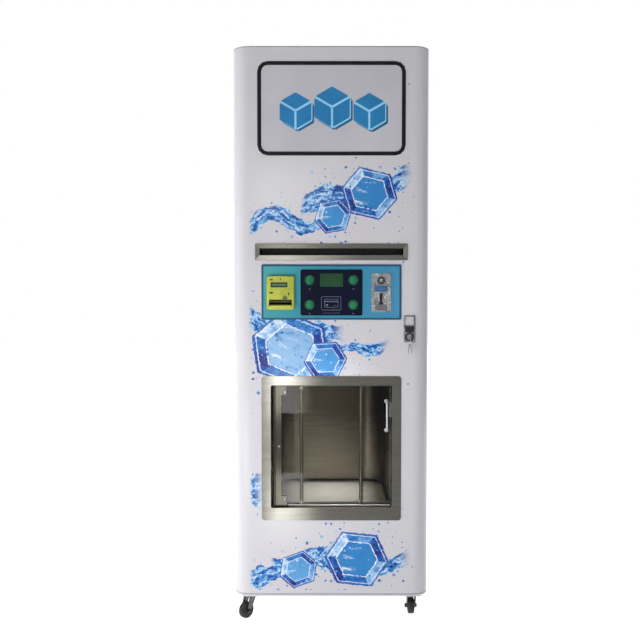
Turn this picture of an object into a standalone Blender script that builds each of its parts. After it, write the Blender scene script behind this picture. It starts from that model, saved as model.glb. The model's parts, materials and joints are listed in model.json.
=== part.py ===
"""Free-standing ice vending machine on four casters.

The frame stands on z = 0, its front faces -Y, and x = 0, y = 0 is the middle of its footprint.
A sheet-steel cabinet carries the ice maker, the bin with its auger, and the delivery tub.
One full-height service door closes its front and carries the sign, the payment units and the
clear delivery door. Lengths are in metres.
"""
import math

import bmesh
import bpy
from mathutils import Matrix, Vector

# Fits shared by all pieces
SEAT = 0.0003
RUN_GAP = 0.002
OVERRUN = 0.004
WELD = 0.00001
FOLD_STEPS = 3
BEND_STEPS = 8
ROUND_STEPS = 20
SMALL_STEPS = 10
ROOT_STEPS = 2

# Cabinet
WIDTH = 0.650
DEPTH = 0.700
HEIGHT = 1.900
BEND_RADIUS = 0.055
SHEET = 0.002
BASE_THICKNESS = 0.006
CAP_THICKNESS = 0.002
CAP_GAP = 0.0015
CAP_RIM_DEPTH = 0.018
FLANGE = 0.030
FRAME_MEMBER = 0.040

# Rear cover
LOUVRE_ROWS = 9
LOUVRE_PITCH = 0.024
LOUVRE_WIDTH_SHARE = 0.88
LOUVRE_SLOT = 0.008
LOUVRE_LIFT = 0.006
LOUVRE_FLOOR = 0.050

# Casters
CASTER_HEIGHT = 0.080
CASTER_INSET_X = 0.053
CASTER_INSET_FRONT = 0.036
CASTER_INSET_REAR = 0.060
CASTER_TRAIL = 0.022
WHEEL_RADIUS = 0.027
WHEEL_WIDTH = 0.021
WHEEL_EDGE = 0.004
AXLE_RADIUS = 0.004
AXLE_END = 0.005
AXLE_NUT_RADIUS = 0.0065
PAD_SIDE = 0.058
PAD_THICKNESS = 0.004
CROWN_RADIUS = 0.020
CROWN_THICKNESS = 0.005
LEG_THICKNESS = 0.003
LEG_GAP = 0.0015
LEG_EYE = 0.009
KINGPIN_RADIUS = 0.005
KINGPIN_LENGTH = 0.006
LEG_BACK_SHARE = 0.6
LEG_FRONT_SHARE = 0.9
WHEEL_EDGE_SHARE = 0.3
SWIVEL_FRONT_LEFT = math.radians(140)
SWIVEL_FRONT_RIGHT = 0.0
SWIVEL_REAR_LEFT = math.radians(20)
SWIVEL_REAR_RIGHT = math.radians(-35)

# Service door
DOOR_DEPTH = 0.060
SEAL_DEPTH = 0.010
SEAL_INSET = 0.020
SEAL_BAND = 0.016
DOOR_LIP = 0.040
HINGE_INSET = 0.014
HINGE_RADIUS = 0.006
HINGE_LENGTH = 0.024
HINGE_COLLAR = 0.010
BACK_FACING_SHARE = 0.9

# Lit sign
SIGN_WIDTH_SHARE = 0.7492
SIGN_HEIGHT = 0.307
SIGN_TOP_BELOW_CAP = 0.049
SIGN_RADIUS = 0.034
SIGN_BAND = 0.013
SIGN_PROUD = 0.003
SIGN_LAP = 0.003
SIGN_CREST_SHARE = 0.25
WINDOW_THICKNESS = 0.003
LIGHT_BOX_MARGIN = 0.008
LIGHT_BOX_DEPTH = 0.045

# Bag slot and bag roll
SLOT_TRIM_WIDTH_SHARE = 0.7769
SLOT_TRIM_HEIGHT = 0.0567
SLOT_RIM = 0.0155
SLOT_HEIGHT = 0.0227
SLOT_DISH = 0.004
SLOT_THROAT = 0.018
SLOT_ABOVE_PANEL = 0.0133
SLOT_EDGE = 0.0015
TRIM_SHEET = 0.0012
ROLL_RADIUS = 0.036
ROLL_SHORT_OF_SLOT = 0.034
ROLL_SPINDLE = 0.006
ROLL_EAR = 0.003
ROLL_DROP = 0.012
ROLL_CLEARANCE = 0.004
CRADLE_STRIP = 0.014

# Control panel
PANEL_WIDTH_SHARE = 0.7092
PANEL_HEIGHT = 0.182
PANEL_LOW_SHARE = 0.52884
PANEL_THICKNESS = 0.003
PANEL_RADIUS = 0.004
PANEL_LAP = 0.016

# Keypad
KEYPAD_WIDTH_SHARE = 0.4425
KEYPAD_HEIGHT = 0.151
KEYPAD_LOW = 0.0142
KEYPAD_THICKNESS = 0.002
KEYPAD_RADIUS = 0.006
BUTTON_RADIUS = 0.0132
BUTTON_SPREAD_SHARE = 0.706
BUTTON_LOW = 0.035
BUTTON_PITCH = 0.081
BUTTON_PROUD = 0.005
BUTTON_FLANGE = 0.0026
BUTTON_CLEARANCE = 0.0004
DISPLAY_WIDTH = 0.075
DISPLAY_HEIGHT = 0.043
DISPLAY_LOW = 0.095

# Banknote acceptor
NOTE_WIDTH = 0.091
NOTE_HEIGHT = 0.111
NOTE_ALONG_SHARE = 0.3633
NOTE_LOW = 0.033
NOTE_REACH = 0.014
NOTE_EDGE = 0.004
NOTE_SLOT_WIDTH = 0.070
NOTE_SLOT_HEIGHT = 0.009
NOTE_SLOT_UP = 0.021
NOTE_MOUTH_DEPTH = 0.004
NOTE_MOUTH_MARGIN = 0.003
NOTE_LIP_REACH = 0.006
NOTE_BODY_MARGIN = 0.007
NOTE_BODY_DEPTH = 0.070
NOTE_PATH_DEPTH = 0.030

# Coin unit
COIN_WIDTH = 0.064
COIN_HEIGHT = 0.128
COIN_ALONG_SHARE = 0.3557
COIN_LOW = 0.025
COIN_THICKNESS = 0.002
COIN_RADIUS = 0.004
COIN_SLOT_WIDTH = 0.006
COIN_SLOT_HEIGHT = 0.026
COIN_SLOT_UP = 0.035
COIN_BODY_MARGIN = 0.004
COIN_BODY_DEPTH = 0.068
COIN_PATH_DEPTH = 0.020
RETURN_BUTTON_WIDTH = 0.0387
RETURN_BUTTON_HEIGHT = 0.0185
RETURN_BUTTON_UP = 0.068
RETURN_BUTTON_PROUD = 0.004
RETURN_TRAVEL = 0.003
CUP_WIDTH = 0.040
CUP_HEIGHT = 0.020
CUP_UP = 0.006
CUP_DEPTH = 0.030
RETURN_FLANGE = 0.0016
FLAP_THICKNESS = 0.0015
FLAP_BARREL = 0.0012

# Paddle lock
LOCK_WIDTH = 0.0395
LOCK_HEIGHT = 0.091
LOCK_ALONG_SHARE = 0.397
LOCK_LOW = 0.929
LOCK_PROUD = 0.003
LOCK_RADIUS = 0.005
LOCK_HOUSING_MARGIN = 0.004
LOCK_HOUSING_DEPTH = 0.028
PADDLE_WIDTH = 0.027
PADDLE_HEIGHT = 0.027
PADDLE_TOP_MARGIN = 0.005
PADDLE_PROUD = 0.004
PADDLE_DEPTH = 0.008
PADDLE_CLEARANCE = 0.001
PADDLE_HEADROOM = 0.0035
PADDLE_PIN = 0.0025
CYLINDER_RADIUS = 0.0085
CYLINDER_UP = 0.019
CYLINDER_PROUD = 0.001
CYLINDER_CLEARANCE = 0.0004
TAIL_RADIUS = 0.005
KEY_REACH = 0.030
KEY_BOW = 0.011
KEY_SHANK = 0.008
KEY_THICKNESS = 0.002
KEY_HOLE = 0.003
CAM_LENGTH = 0.046
CAM_RADIUS = 0.009
CAM_THICKNESS = 0.003
CAM_CLEARANCE = 0.0012

# Delivery opening
FRAME_WIDTH_SHARE = 0.7123
FRAME_LOW = 0.3356
FRAME_HEIGHT = 0.482
FRAME_RADIUS = 0.010
FRAME_RIM = 0.0305
MOUTH_LOW = 0.0419
MOUTH_HEIGHT = 0.4095
MOUTH_RADIUS = 0.006
FRAME_SHEET = 0.002
CATCH_HEIGHT = 0.050
CATCH_UP = 0.300
CATCH_REACH = 0.008
CATCH_THICKNESS = 0.002

# Delivery door
DELIVERY_GAP = 0.0035
DELIVERY_RECESS = 0.020
PIVOT_INSET = 0.0105
BARREL_RADIUS = 0.0045
PIVOT_PIN = 0.003
RAIL_WIDTH = 0.024
RAIL_THICKNESS = 0.003
RAIL_EAR_WIDTH = 0.042
RAIL_EAR_HEIGHT = 0.032
ACRYLIC_THICKNESS = 0.004
ACRYLIC_RADIUS = 0.004
HANDLE_INSET = 0.0135
HANDLE_LENGTH = 0.104
HANDLE_ABOVE = 0.2535
HANDLE_WIRE = 0.003
HANDLE_BEND = 0.009
HANDLE_REACH = 0.024
HANDLE_BOSS = 0.006
HANDLE_BOSS_HEIGHT = 0.003
ROD_SPREAD = 0.200
ROD_RADIUS = 0.006
ROD_BEND = 0.012
ROD_STANDOFF = 0.014
ROD_END_INSET = 0.012

# Delivery tub
TUB_DEPTH = 0.316
TUB_CORNER = 0.070
TUB_FLANGE = 0.018
TUB_SHEET = 0.002
FLOOR_THICKNESS = 0.003
FLOOR_INSET = 0.005

# Chute and its gate
CHUTE_BEHIND = 0.240
CHUTE_SHARE = 0.8
CHUTE_TOP_LENGTH = 0.100
CHUTE_LENGTH = 0.090
CHUTE_SHEET = 0.002
CHUTE_FLANGE = 0.012
GATE_UP = 0.030
GATE_THICKNESS = 0.002
GATE_BARREL = 0.004
GATE_PIN = 0.0028
GATE_EDGE = 0.006
GATE_SIDE = 0.002

# Ice bin and auger
BIN_FRONT = 0.150
BIN_BACK = 0.600
BIN_HALF_SHARE = 0.3846
BIN_SHEET = 0.003
BIN_AXIS_UP = 1.040
BIN_DEEP_SHARE = 0.5245
TROUGH_RADIUS = 0.062
TROUGH_SLOPE = math.radians(-35)
NECK_HEIGHT = 0.022
NECK_SHARE = 0.4
AUGER_RADIUS = 0.055
AUGER_SHAFT = 0.010
AUGER_FLIGHT = 0.004
AUGER_TURNS = 5
AUGER_STEPS = 14
AUGER_START = math.radians(6)
AUGER_JOURNAL = 0.007
AUGER_CLEARANCE = 0.0004
AUGER_ROOT_SHARE = 0.6
AUGER_SOCKET = 0.015
MOTOR_WIDTH = 0.090
MOTOR_LENGTH = 0.060
MOTOR_CAN = 0.080

# Deck and ice maker
DECK_ABOVE_BIN = 0.012
DECK_THICKNESS = 0.003
DECK_LIP = 0.020
DROP_HALF_SHARE = 0.2308
DROP_FRONT = 0.220
DROP_BACK = 0.520
MAKER_HALF_SHARE = 0.3692
MAKER_FRONT = 0.130
MAKER_BACK = 0.600
MAKER_HEADROOM = 0.040
MAKER_EDGE = 0.003
MAKER_PANEL_INSET = 0.030
MAKER_PANEL_DEPTH = 0.002
MAKER_WALL = 0.005
EVAPORATOR_WIDTH_SHARE = 0.4
EVAPORATOR_DEPTH = 0.060
EVAPORATOR_HEIGHT = 0.180

# Compressor
COMPRESSOR_ALONG_SHARE = 0.2615
COMPRESSOR_BEHIND = 0.440
COMPRESSOR_RADIUS = 0.078
COMPRESSOR_HEIGHT = 0.185
COMPRESSOR_DOME = 0.035
COMPRESSOR_FOOT = 0.190
COMPRESSOR_FOOT_THICKNESS = 0.004
COMPRESSOR_SEAM = 0.006

# Condenser and fan
CONDENSER_ALONG_SHARE = 0.2308
CONDENSER_WIDTH_SHARE = 0.3846
CONDENSER_BACK_GAP = 0.025
CONDENSER_DEPTH = 0.050
FIN_COUNT = 20
FIN_SHARE = 0.45
FIN_ROOT = 0.012
TRAY_THICKNESS = 0.004
SHROUD_DEPTH = 0.030
FAN_RADIUS_SHARE = 0.4
FAN_TIP_GAP = 0.006
FAN_HUB_RADIUS = 0.024
FAN_HUB_LENGTH = 0.026
FAN_BLADES = 5
FAN_BLADE_ANGLE = math.radians(50)
FAN_PITCH = math.radians(18)
FAN_BLADE_THICKNESS = 0.002
FAN_SHAFT = 0.004
FAN_MOTOR_RADIUS = 0.034
FAN_MOTOR_LENGTH = 0.050
FAN_PEDESTAL = 0.030
FAN_MOTOR_GAP = 0.004
FAN_ROOT_SHARE = 0.6

# Service connections
FITTING_REACH = 0.028
SERVICE_UP = 0.075
POWER_ALONG_SHARE = 0.3385
POWER_WIDTH = 0.050
POWER_HEIGHT = 0.034
POWER_FLANGE = 0.006
POWER_PROUD = 0.004
POWER_DEPTH = 0.025
POWER_WALL = 0.003
WATER_ALONG_SHARE = 0.2
WATER_RADIUS = 0.0130
WATER_BORE = 0.009
WATER_FLANGE = 0.020
WATER_FLANGE_DEPTH = 0.004
WATER_BODY = 0.040
WATER_BORE_DEPTH = 0.022
DRAIN_ALONG_SHARE = 0.0462
DRAIN_RADIUS = 0.012
DRAIN_BORE = 0.009
DRAIN_BORE_DEPTH = 0.030
DRAIN_BEND = 0.040
DRAIN_FROM_BACK = 0.050
HOLE_CLEARANCE = 0.0005

# Widths and places across, worked out from the overall width
SIGN_WIDTH = WIDTH * SIGN_WIDTH_SHARE
SLOT_TRIM_WIDTH = WIDTH * SLOT_TRIM_WIDTH_SHARE
SLOT_WIDTH = SLOT_TRIM_WIDTH - 2 * SLOT_RIM
ROLL_LENGTH = SLOT_WIDTH - ROLL_SHORT_OF_SLOT
PANEL_WIDTH = WIDTH * PANEL_WIDTH_SHARE
KEYPAD_WIDTH = PANEL_WIDTH * KEYPAD_WIDTH_SHARE
BUTTON_SPREAD = KEYPAD_WIDTH * BUTTON_SPREAD_SHARE
NOTE_X = -PANEL_WIDTH * NOTE_ALONG_SHARE
COIN_X = PANEL_WIDTH * COIN_ALONG_SHARE
LOCK_X = WIDTH * LOCK_ALONG_SHARE
FRAME_WIDTH = WIDTH * FRAME_WIDTH_SHARE
MOUTH_WIDTH = FRAME_WIDTH - 2 * FRAME_RIM
BIN_HALF = WIDTH * BIN_HALF_SHARE
DROP_HALF = WIDTH * DROP_HALF_SHARE
MAKER_HALF = WIDTH * MAKER_HALF_SHARE
EVAPORATOR_WIDTH = WIDTH * EVAPORATOR_WIDTH_SHARE
COMPRESSOR_X = -WIDTH * COMPRESSOR_ALONG_SHARE
CONDENSER_X = WIDTH * CONDENSER_ALONG_SHARE
CONDENSER_WIDTH = WIDTH * CONDENSER_WIDTH_SHARE
CONDENSER_HEIGHT = CONDENSER_WIDTH
FAN_RADIUS = CONDENSER_WIDTH * FAN_RADIUS_SHARE
LOUVRE_CENTRE = CONDENSER_X
LOUVRE_WIDTH = CONDENSER_WIDTH * LOUVRE_WIDTH_SHARE
POWER_X = -WIDTH * POWER_ALONG_SHARE
WATER_X = -WIDTH * WATER_ALONG_SHARE
DRAIN_X = -WIDTH * DRAIN_ALONG_SHARE

# Levels worked out from the sizes above
FRONT = (KEY_REACH - FITTING_REACH - DEPTH) / 2
REAR = FRONT + DEPTH
BASE_TOP = CASTER_HEIGHT + BASE_THICKNESS
CAP_UNDER = HEIGHT - CAP_THICKNESS
PANEL_LOW = HEIGHT * PANEL_LOW_SHARE
BIN_DEEP = (CAP_UNDER - BIN_AXIS_UP) * BIN_DEEP_SHARE
DOOR_LOW = BASE_TOP + RUN_GAP
DOOR_HIGH = CAP_UNDER - CAP_GAP
CABINET_FRONT = FRONT + DOOR_DEPTH + SEAL_DEPTH
COVER_FRONT = REAR - SHEET
SIDE_BACK = COVER_FRONT - SEAT
INNER_HALF = WIDTH / 2 - SHEET - SEAT
FRAME_BACK = CABINET_FRONT + SHEET
SHELL_LOW = BASE_TOP + SEAT
SHELL_HIGH = CAP_UNDER - SEAT
HINGE_X = HINGE_INSET - WIDTH / 2
HINGE_Y = FRONT + DOOR_DEPTH - HINGE_INSET
SKIN_BACK = FRONT + SHEET
ON_SKIN = FRONT - SEAT
PLATE_FRONT = ON_SKIN - PANEL_THICKNESS
ON_PLATE = PLATE_FRONT - SEAT
SIGN_MIDDLE = HEIGHT - SIGN_TOP_BELOW_CAP - SIGN_HEIGHT / 2
SLOT_MIDDLE = PANEL_LOW + PANEL_HEIGHT + SLOT_ABOVE_PANEL + SLOT_TRIM_HEIGHT / 2
ROLL_Y = FRONT + SLOT_THROAT + ROLL_CLEARANCE + ROLL_RADIUS
ROLL_Z = SLOT_MIDDLE - ROLL_DROP
MOUTH_Z = FRAME_LOW + MOUTH_LOW
MOUTH_TOP = MOUTH_Z + MOUTH_HEIGHT
TUB_FRONT = FRAME_BACK + SEAT
TUB_BACK = TUB_FRONT + TUB_DEPTH
BIN_LOW = BIN_AXIS_UP - TROUGH_RADIUS - BIN_SHEET
BIN_TOP = BIN_AXIS_UP + BIN_DEEP
DECK_LOW = BIN_TOP + DECK_ABOVE_BIN
DECK_TOP = DECK_LOW + DECK_THICKNESS
CHUTE_Y = FRONT + CHUTE_BEHIND
NECK_LOW = BIN_LOW - NECK_HEIGHT
CHUTE_TOP = NECK_LOW - SEAT
CHUTE_FOOT = MOUTH_TOP + TUB_SHEET + SEAT
SERVICE_Z = BASE_TOP + SERVICE_UP
BIN_Y = (FRONT + BIN_FRONT, FRONT + BIN_BACK)
CHUTE_HALF = TROUGH_RADIUS * CHUTE_SHARE
GATE_Y = CHUTE_Y - CHUTE_LENGTH / 2 + GATE_EDGE
GATE_Z = CHUTE_FOOT + GATE_UP
AUGER_END = BIN_Y[1] + SEAT + AUGER_SOCKET
CORE_BACK = COVER_FRONT - CONDENSER_BACK_GAP
CORE_FRONT = CORE_BACK - CONDENSER_DEPTH
FAN_Y = CORE_FRONT - SHROUD_DEPTH / 2
FAN_Z = SHELL_LOW + CONDENSER_HEIGHT / 2
FAN_MOTOR_BACK = FAN_Y - FAN_HUB_LENGTH / 2 - FAN_MOTOR_GAP
FAN_MOTOR_Y = (FAN_MOTOR_BACK - FAN_MOTOR_LENGTH, FAN_MOTOR_BACK)
EAR_X = SLOT_WIDTH / 2 + TRIM_SHEET + ROLL_CLEARANCE
KEYPAD_FRONT = ON_PLATE - KEYPAD_THICKNESS
FLAP_Y = ON_PLATE + SEAT + FLAP_BARREL
FLAP_Z = PANEL_LOW + COIN_LOW + CUP_UP + CUP_HEIGHT + FLAP_BARREL
PADDLE_FRONT = ON_SKIN - LOCK_PROUD - PADDLE_PROUD
PADDLE_BACK = PADDLE_FRONT + PADDLE_DEPTH
KEY_Z = LOCK_LOW + CYLINDER_UP
CAM_Y = (FRAME_BACK + CAM_CLEARANCE, FRAME_BACK + CAM_CLEARANCE + CAM_THICKNESS)
ACRYLIC_Y = (FRONT + DELIVERY_RECESS, FRONT + DELIVERY_RECESS + ACRYLIC_THICKNESS)
DELIVERY_Z = (MOUTH_Z + DELIVERY_GAP, MOUTH_TOP - DELIVERY_GAP)
PIVOT_X = PIVOT_INSET - MOUTH_WIDTH / 2
PIVOT_Y = ACRYLIC_Y[0] - SEAT - RAIL_THICKNESS / 2
ACRYLIC_X = (PIVOT_X + BARREL_RADIUS + SEAT, MOUTH_WIDTH / 2 - DELIVERY_GAP)

PARTS = "ice_vending_machine"
CUTTERS = "cutters"
UP = (0, 0, 0)
FACING_FRONT = (math.radians(90), 0, 0)
FACING_SIDE = (math.radians(90), 0, math.radians(90))
FACING_BACK = (math.radians(-90), 0, 0)
LYING = (0, math.radians(90), 0)


def clear_scene():
    """Start from an empty scene with one collection for the parts and one for the cutters."""
    for obj in list(bpy.data.objects):
        bpy.data.objects.remove(obj, do_unlink=True)
    for name in (PARTS, CUTTERS):
        collection = bpy.data.collections.new(name)
        bpy.context.scene.collection.children.link(collection)


def finish(name, colour, roughness, metallic=0.0, alpha=1.0):
    """A Principled material."""
    material = bpy.data.materials.new(name)
    material.use_nodes = True
    shader = material.node_tree.nodes["Principled BSDF"]
    shader.inputs["Base Color"].default_value = (*colour, 1.0)
    shader.inputs["Roughness"].default_value = roughness
    shader.inputs["Metallic"].default_value = metallic
    shader.inputs["Alpha"].default_value = alpha
    return material


def add_object(name, mesh, place=(0, 0, 0), turn=UP):
    """Link a mesh as a named object of the part."""
    mesh.shade_smooth()
    mesh.set_sharp_from_angle(angle=math.radians(35))
    obj = bpy.data.objects.new(name, mesh)
    obj.location = place
    obj.rotation_euler = turn
    bpy.data.collections[PARTS].objects.link(obj)
    return obj


def add_bmesh(name, bm, place=(0, 0, 0), turn=UP):
    """Turn a bmesh into a named object."""
    mesh = bpy.data.meshes.new(name)
    bm.to_mesh(mesh)
    bm.free()
    return add_object(name, mesh, place, turn)


def block(name, xs, ys, zs, edge=0.0, segments=3):
    """A box between two x, two y and two z values, with its edges rounded if edge is given."""
    bm = bmesh.new()
    bmesh.ops.create_cube(bm, size=1)
    size = (xs[1] - xs[0], ys[1] - ys[0], zs[1] - zs[0])
    bmesh.ops.scale(bm, vec=size, verts=bm.verts)
    middle = ((xs[0] + xs[1]) / 2, (ys[0] + ys[1]) / 2, (zs[0] + zs[1]) / 2)
    obj = add_bmesh(name, bm, middle)
    if edge:
        round_edges(obj, edge, segments)
    return obj


def round_edges(obj, width, segments=3):
    """Round the sharp edges of an object."""
    bevel = obj.modifiers.new("round_edges", "BEVEL")
    bevel.width = width
    bevel.segments = segments
    bevel.limit_method = "ANGLE"
    bevel.angle_limit = math.radians(40)
    return bevel


def baked(obj):
    """The same object with its modifiers or its curve turned into a plain mesh."""
    graph = bpy.context.evaluated_depsgraph_get()
    graph.update()
    mesh = bpy.data.meshes.new_from_object(obj.evaluated_get(graph))
    bm = bmesh.new()
    bm.from_mesh(mesh)
    bmesh.ops.remove_doubles(bm, verts=bm.verts, dist=WELD)
    bmesh.ops.holes_fill(bm, edges=bm.edges, sides=0)
    bmesh.ops.recalc_face_normals(bm, faces=bm.faces)
    bm.to_mesh(mesh)
    bm.free()
    name = obj.name
    place = obj.location.copy()
    turn = obj.rotation_euler.copy()
    bpy.data.objects.remove(obj, do_unlink=True)
    return add_object(name, mesh, place, turn)


def outline(name, loops, span, facing):
    """A flat outline, with any holes, given thickness between the two values of span.

    The loops are in x and y for UP, in x and z for FACING_FRONT, in y and z for FACING_SIDE.
    """
    curve = bpy.data.curves.new(name, "CURVE")
    curve.dimensions = "2D"
    curve.fill_mode = "BOTH"
    curve.extrude = (span[1] - span[0]) / 2
    for loop in loops:
        spline = curve.splines.new("POLY")
        spline.points.add(len(loop) - 1)
        for point, (u, v) in zip(spline.points, loop):
            point.co = (u, v, 0, 1)
        spline.use_cyclic_u = True
    guide = bpy.data.objects.new(name, curve)
    bpy.data.collections[PARTS].objects.link(guide)
    middle = (span[0] + span[1]) / 2
    places = {UP: (0, 0, middle), FACING_FRONT: (0, middle, 0), FACING_SIDE: (middle, 0, 0)}
    guide.location = places[facing]
    guide.rotation_euler = facing
    return baked(guide)


def arc(centre, radius, start, end, steps):
    """Points of an arc from one angle to another, in degrees."""
    points = []
    for step in range(steps + 1):
        angle = math.radians(start + (end - start) * step / steps)
        points.append((centre[0] + radius * math.cos(angle), centre[1] + radius * math.sin(angle)))
    return points


def circle(centre, radius, steps=ROUND_STEPS):
    """A closed round loop."""
    return arc(centre, radius, 0, 360, steps)[:-1]


def rounded(us, vs, radius=0.0, steps=FOLD_STEPS):
    """A closed rectangle between two u and two v values, with round corners."""
    if not radius:
        return [(us[0], vs[0]), (us[1], vs[0]), (us[1], vs[1]), (us[0], vs[1])]
    loop = arc((us[0] + radius, vs[0] + radius), radius, 180, 270, steps)
    loop += arc((us[1] - radius, vs[0] + radius), radius, 270, 360, steps)
    loop += arc((us[1] - radius, vs[1] - radius), radius, 0, 90, steps)
    loop += arc((us[0] + radius, vs[1] - radius), radius, 90, 180, steps)
    return loop


def centred(middle, size):
    """The two ends of a length about its middle."""
    return (middle - size / 2, middle + size / 2)


def grown(ends, margin):
    """A pair of ends moved apart by a margin on each side."""
    return (ends[0] - margin, ends[1] + margin)


def turned(name, profile, place, turn=UP, steps=ROUND_STEPS):
    """A turned solid: its profile runs down its outer side, as radius and height."""
    mesh = bpy.data.meshes.new(name)
    points = [(radius, 0, height) for radius, height in profile]
    mesh.from_pydata(points, [(i, i + 1) for i in range(len(points) - 1)], [])
    obj = add_object(name, mesh, place, turn)
    screw = obj.modifiers.new("turn", "SCREW")
    screw.axis = "Z"
    screw.angle = math.radians(360)
    screw.steps = steps
    screw.render_steps = steps
    screw.use_merge_vertices = True
    screw.merge_threshold = WELD
    return baked(obj)


def cylinder(name, radius, span, place, turn=UP, steps=ROUND_STEPS):
    """A plain round bar between two heights along its axis."""
    profile = [(0, span[1]), (radius, span[1]), (radius, span[0]), (0, span[0])]
    return turned(name, profile, place, turn, steps)


def tube(name, points, radius, resolution=2):
    """A bent round bar along a list of points."""
    curve = bpy.data.curves.new(name, "CURVE")
    curve.dimensions = "3D"
    curve.bevel_depth = radius
    curve.bevel_resolution = resolution
    curve.use_fill_caps = True
    spline = curve.splines.new("POLY")
    spline.points.add(len(points) - 1)
    for point, place in zip(spline.points, points):
        point.co = (*place, 1)
    guide = bpy.data.objects.new(name, curve)
    bpy.data.collections[PARTS].objects.link(guide)
    return baked(guide)


def front_ring(us, vs, y, radius=0.0, steps=FOLD_STEPS):
    """A ring of points in a plane that faces the front."""
    return [(u, y, v) for u, v in rounded(us, vs, radius, steps)]


def set_aside(obj):
    """Keep a cutter or a joined shape out of the finished part."""
    bpy.data.collections[PARTS].objects.unlink(obj)
    bpy.data.collections[CUTTERS].objects.link(obj)
    obj.hide_render = True
    obj.display_type = "WIRE"


def combine(obj, other, operation):
    """Hide the other shape, and take it out of the object or make it part of it."""
    boolean = obj.modifiers.new(other.name, "BOOLEAN")
    boolean.operation = operation
    boolean.object = other
    boolean.solver = "EXACT"
    set_aside(other)
    return obj


def cut(obj, *cutters):
    """Take each cutter out of the object."""
    for cutter in cutters:
        combine(obj, cutter, "DIFFERENCE")
    return obj


def join(obj, *others):
    """Make each other shape part of the object."""
    for other in others:
        combine(obj, other, "UNION")
    return obj


def pivot(name, place, parent=None, turn=UP):
    """An empty on a joint's axis, which carries the pieces that move there."""
    empty = bpy.data.objects.new(name, None)
    empty.location = place
    empty.rotation_euler = turn
    empty.empty_display_size = FLANGE
    bpy.data.collections[PARTS].objects.link(empty)
    if parent:
        carry(empty, parent)
    return empty


def carry(obj, parent):
    """Hang an object on a pivot and leave it where it stands."""
    obj.parent = parent
    obj.matrix_parent_inverse = Matrix.Translation(-Vector(parent.location))


def dress(obj, material, parent=None):
    """Give a finished piece its material and the pivot that carries it."""
    obj.data.materials.clear()
    obj.data.materials.append(material)
    if parent:
        carry(obj, parent)
    return obj


def bar_y(name, radius, ys, x, z, steps=ROUND_STEPS):
    """A round bar from front to back."""
    return cylinder(name, radius, (-ys[1], -ys[0]), (x, 0, z), FACING_FRONT, steps)


def bar_x(name, radius, xs, y, z, steps=ROUND_STEPS):
    """A round bar from left to right."""
    return cylinder(name, radius, xs, (0, y, z), LYING, steps)


def bar_z(name, radius, zs, x, y, steps=ROUND_STEPS):
    """An upright round bar."""
    return cylinder(name, radius, zs, (x, y, 0), UP, steps)


def loft(bm, rings, round_again):
    """Faces from each ring of points to the next, and from the last to the first if asked."""
    loops = [[bm.verts.new(point) for point in ring] for ring in rings]
    following = loops[1:] + loops[:1] if round_again else loops[1:]
    for first, second in zip(loops, following):
        for i in range(len(first)):
            bm.faces.new((first[i - 1], first[i], second[i], second[i - 1]))
    return loops


def ring_solid(name, rings):
    """A closed frame: its section is swept through rings of points, the last back to the first."""
    bm = bmesh.new()
    loft(bm, rings, True)
    bmesh.ops.recalc_face_normals(bm, faces=bm.faces)
    return add_bmesh(name, bm)


def plan_ring(us, vs, z, radius, steps=FOLD_STEPS):
    """A ring of points in a level plane."""
    return [(u, v, z) for u, v in rounded(us, vs, radius, steps)]


def raised_plate(name, us, vs, ys, radius, edge, steps=3):
    """A plate that faces the front, with round corners and a rounded front edge."""
    bm = bmesh.new()
    rings = [front_ring(us, vs, ys[1], radius)]
    for step in range(steps + 1):
        angle = math.radians(90) * step / steps
        inset = edge * (1 - math.cos(angle))
        y = ys[0] + edge * (1 - math.sin(angle))
        rings.append(front_ring(grown(us, -inset), grown(vs, -inset), y, radius - inset))
    loops = loft(bm, rings, False)
    bm.faces.new(loops[0])
    bm.faces.new(loops[-1])
    bmesh.ops.recalc_face_normals(bm, faces=bm.faces)
    return add_bmesh(name, bm)


def bend_path(inset, back):
    """The front of the plan outline, from one back corner round both bends to the other."""
    half = WIDTH / 2 - inset
    radius = BEND_RADIUS - inset
    front = FRONT + BEND_RADIUS
    path = [(-half, back)]
    path += arc((radius - half, front), radius, 180, 270, BEND_STEPS)
    path += arc((half - radius, front), radius, 270, 360, BEND_STEPS)
    return path + [(half, back)]


def hinge_pin(name, low, high, collar):
    """A turned door pin with the collar that the door turns on."""
    profile = [(0, high), (HINGE_RADIUS, high), (HINGE_RADIUS, collar[1]), (HINGE_COLLAR, collar[1])]
    profile += [(HINGE_COLLAR, collar[0]), (HINGE_RADIUS, collar[0]), (HINGE_RADIUS, low), (0, low)]
    return turned(name, profile, (HINGE_X, HINGE_Y, 0))


def caster_places():
    """Each caster's name, the place of its kingpin and the way its wheel trails."""
    side = WIDTH / 2 - CASTER_INSET_X
    front = FRONT + CASTER_INSET_FRONT
    rear = REAR - CASTER_INSET_REAR
    return (
        ("front_left", -side, front, SWIVEL_FRONT_LEFT),
        ("front_right", side, front, SWIVEL_FRONT_RIGHT),
        ("rear_left", -side, rear, SWIVEL_REAR_LEFT),
        ("rear_right", side, rear, SWIVEL_REAR_RIGHT),
    )


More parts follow.
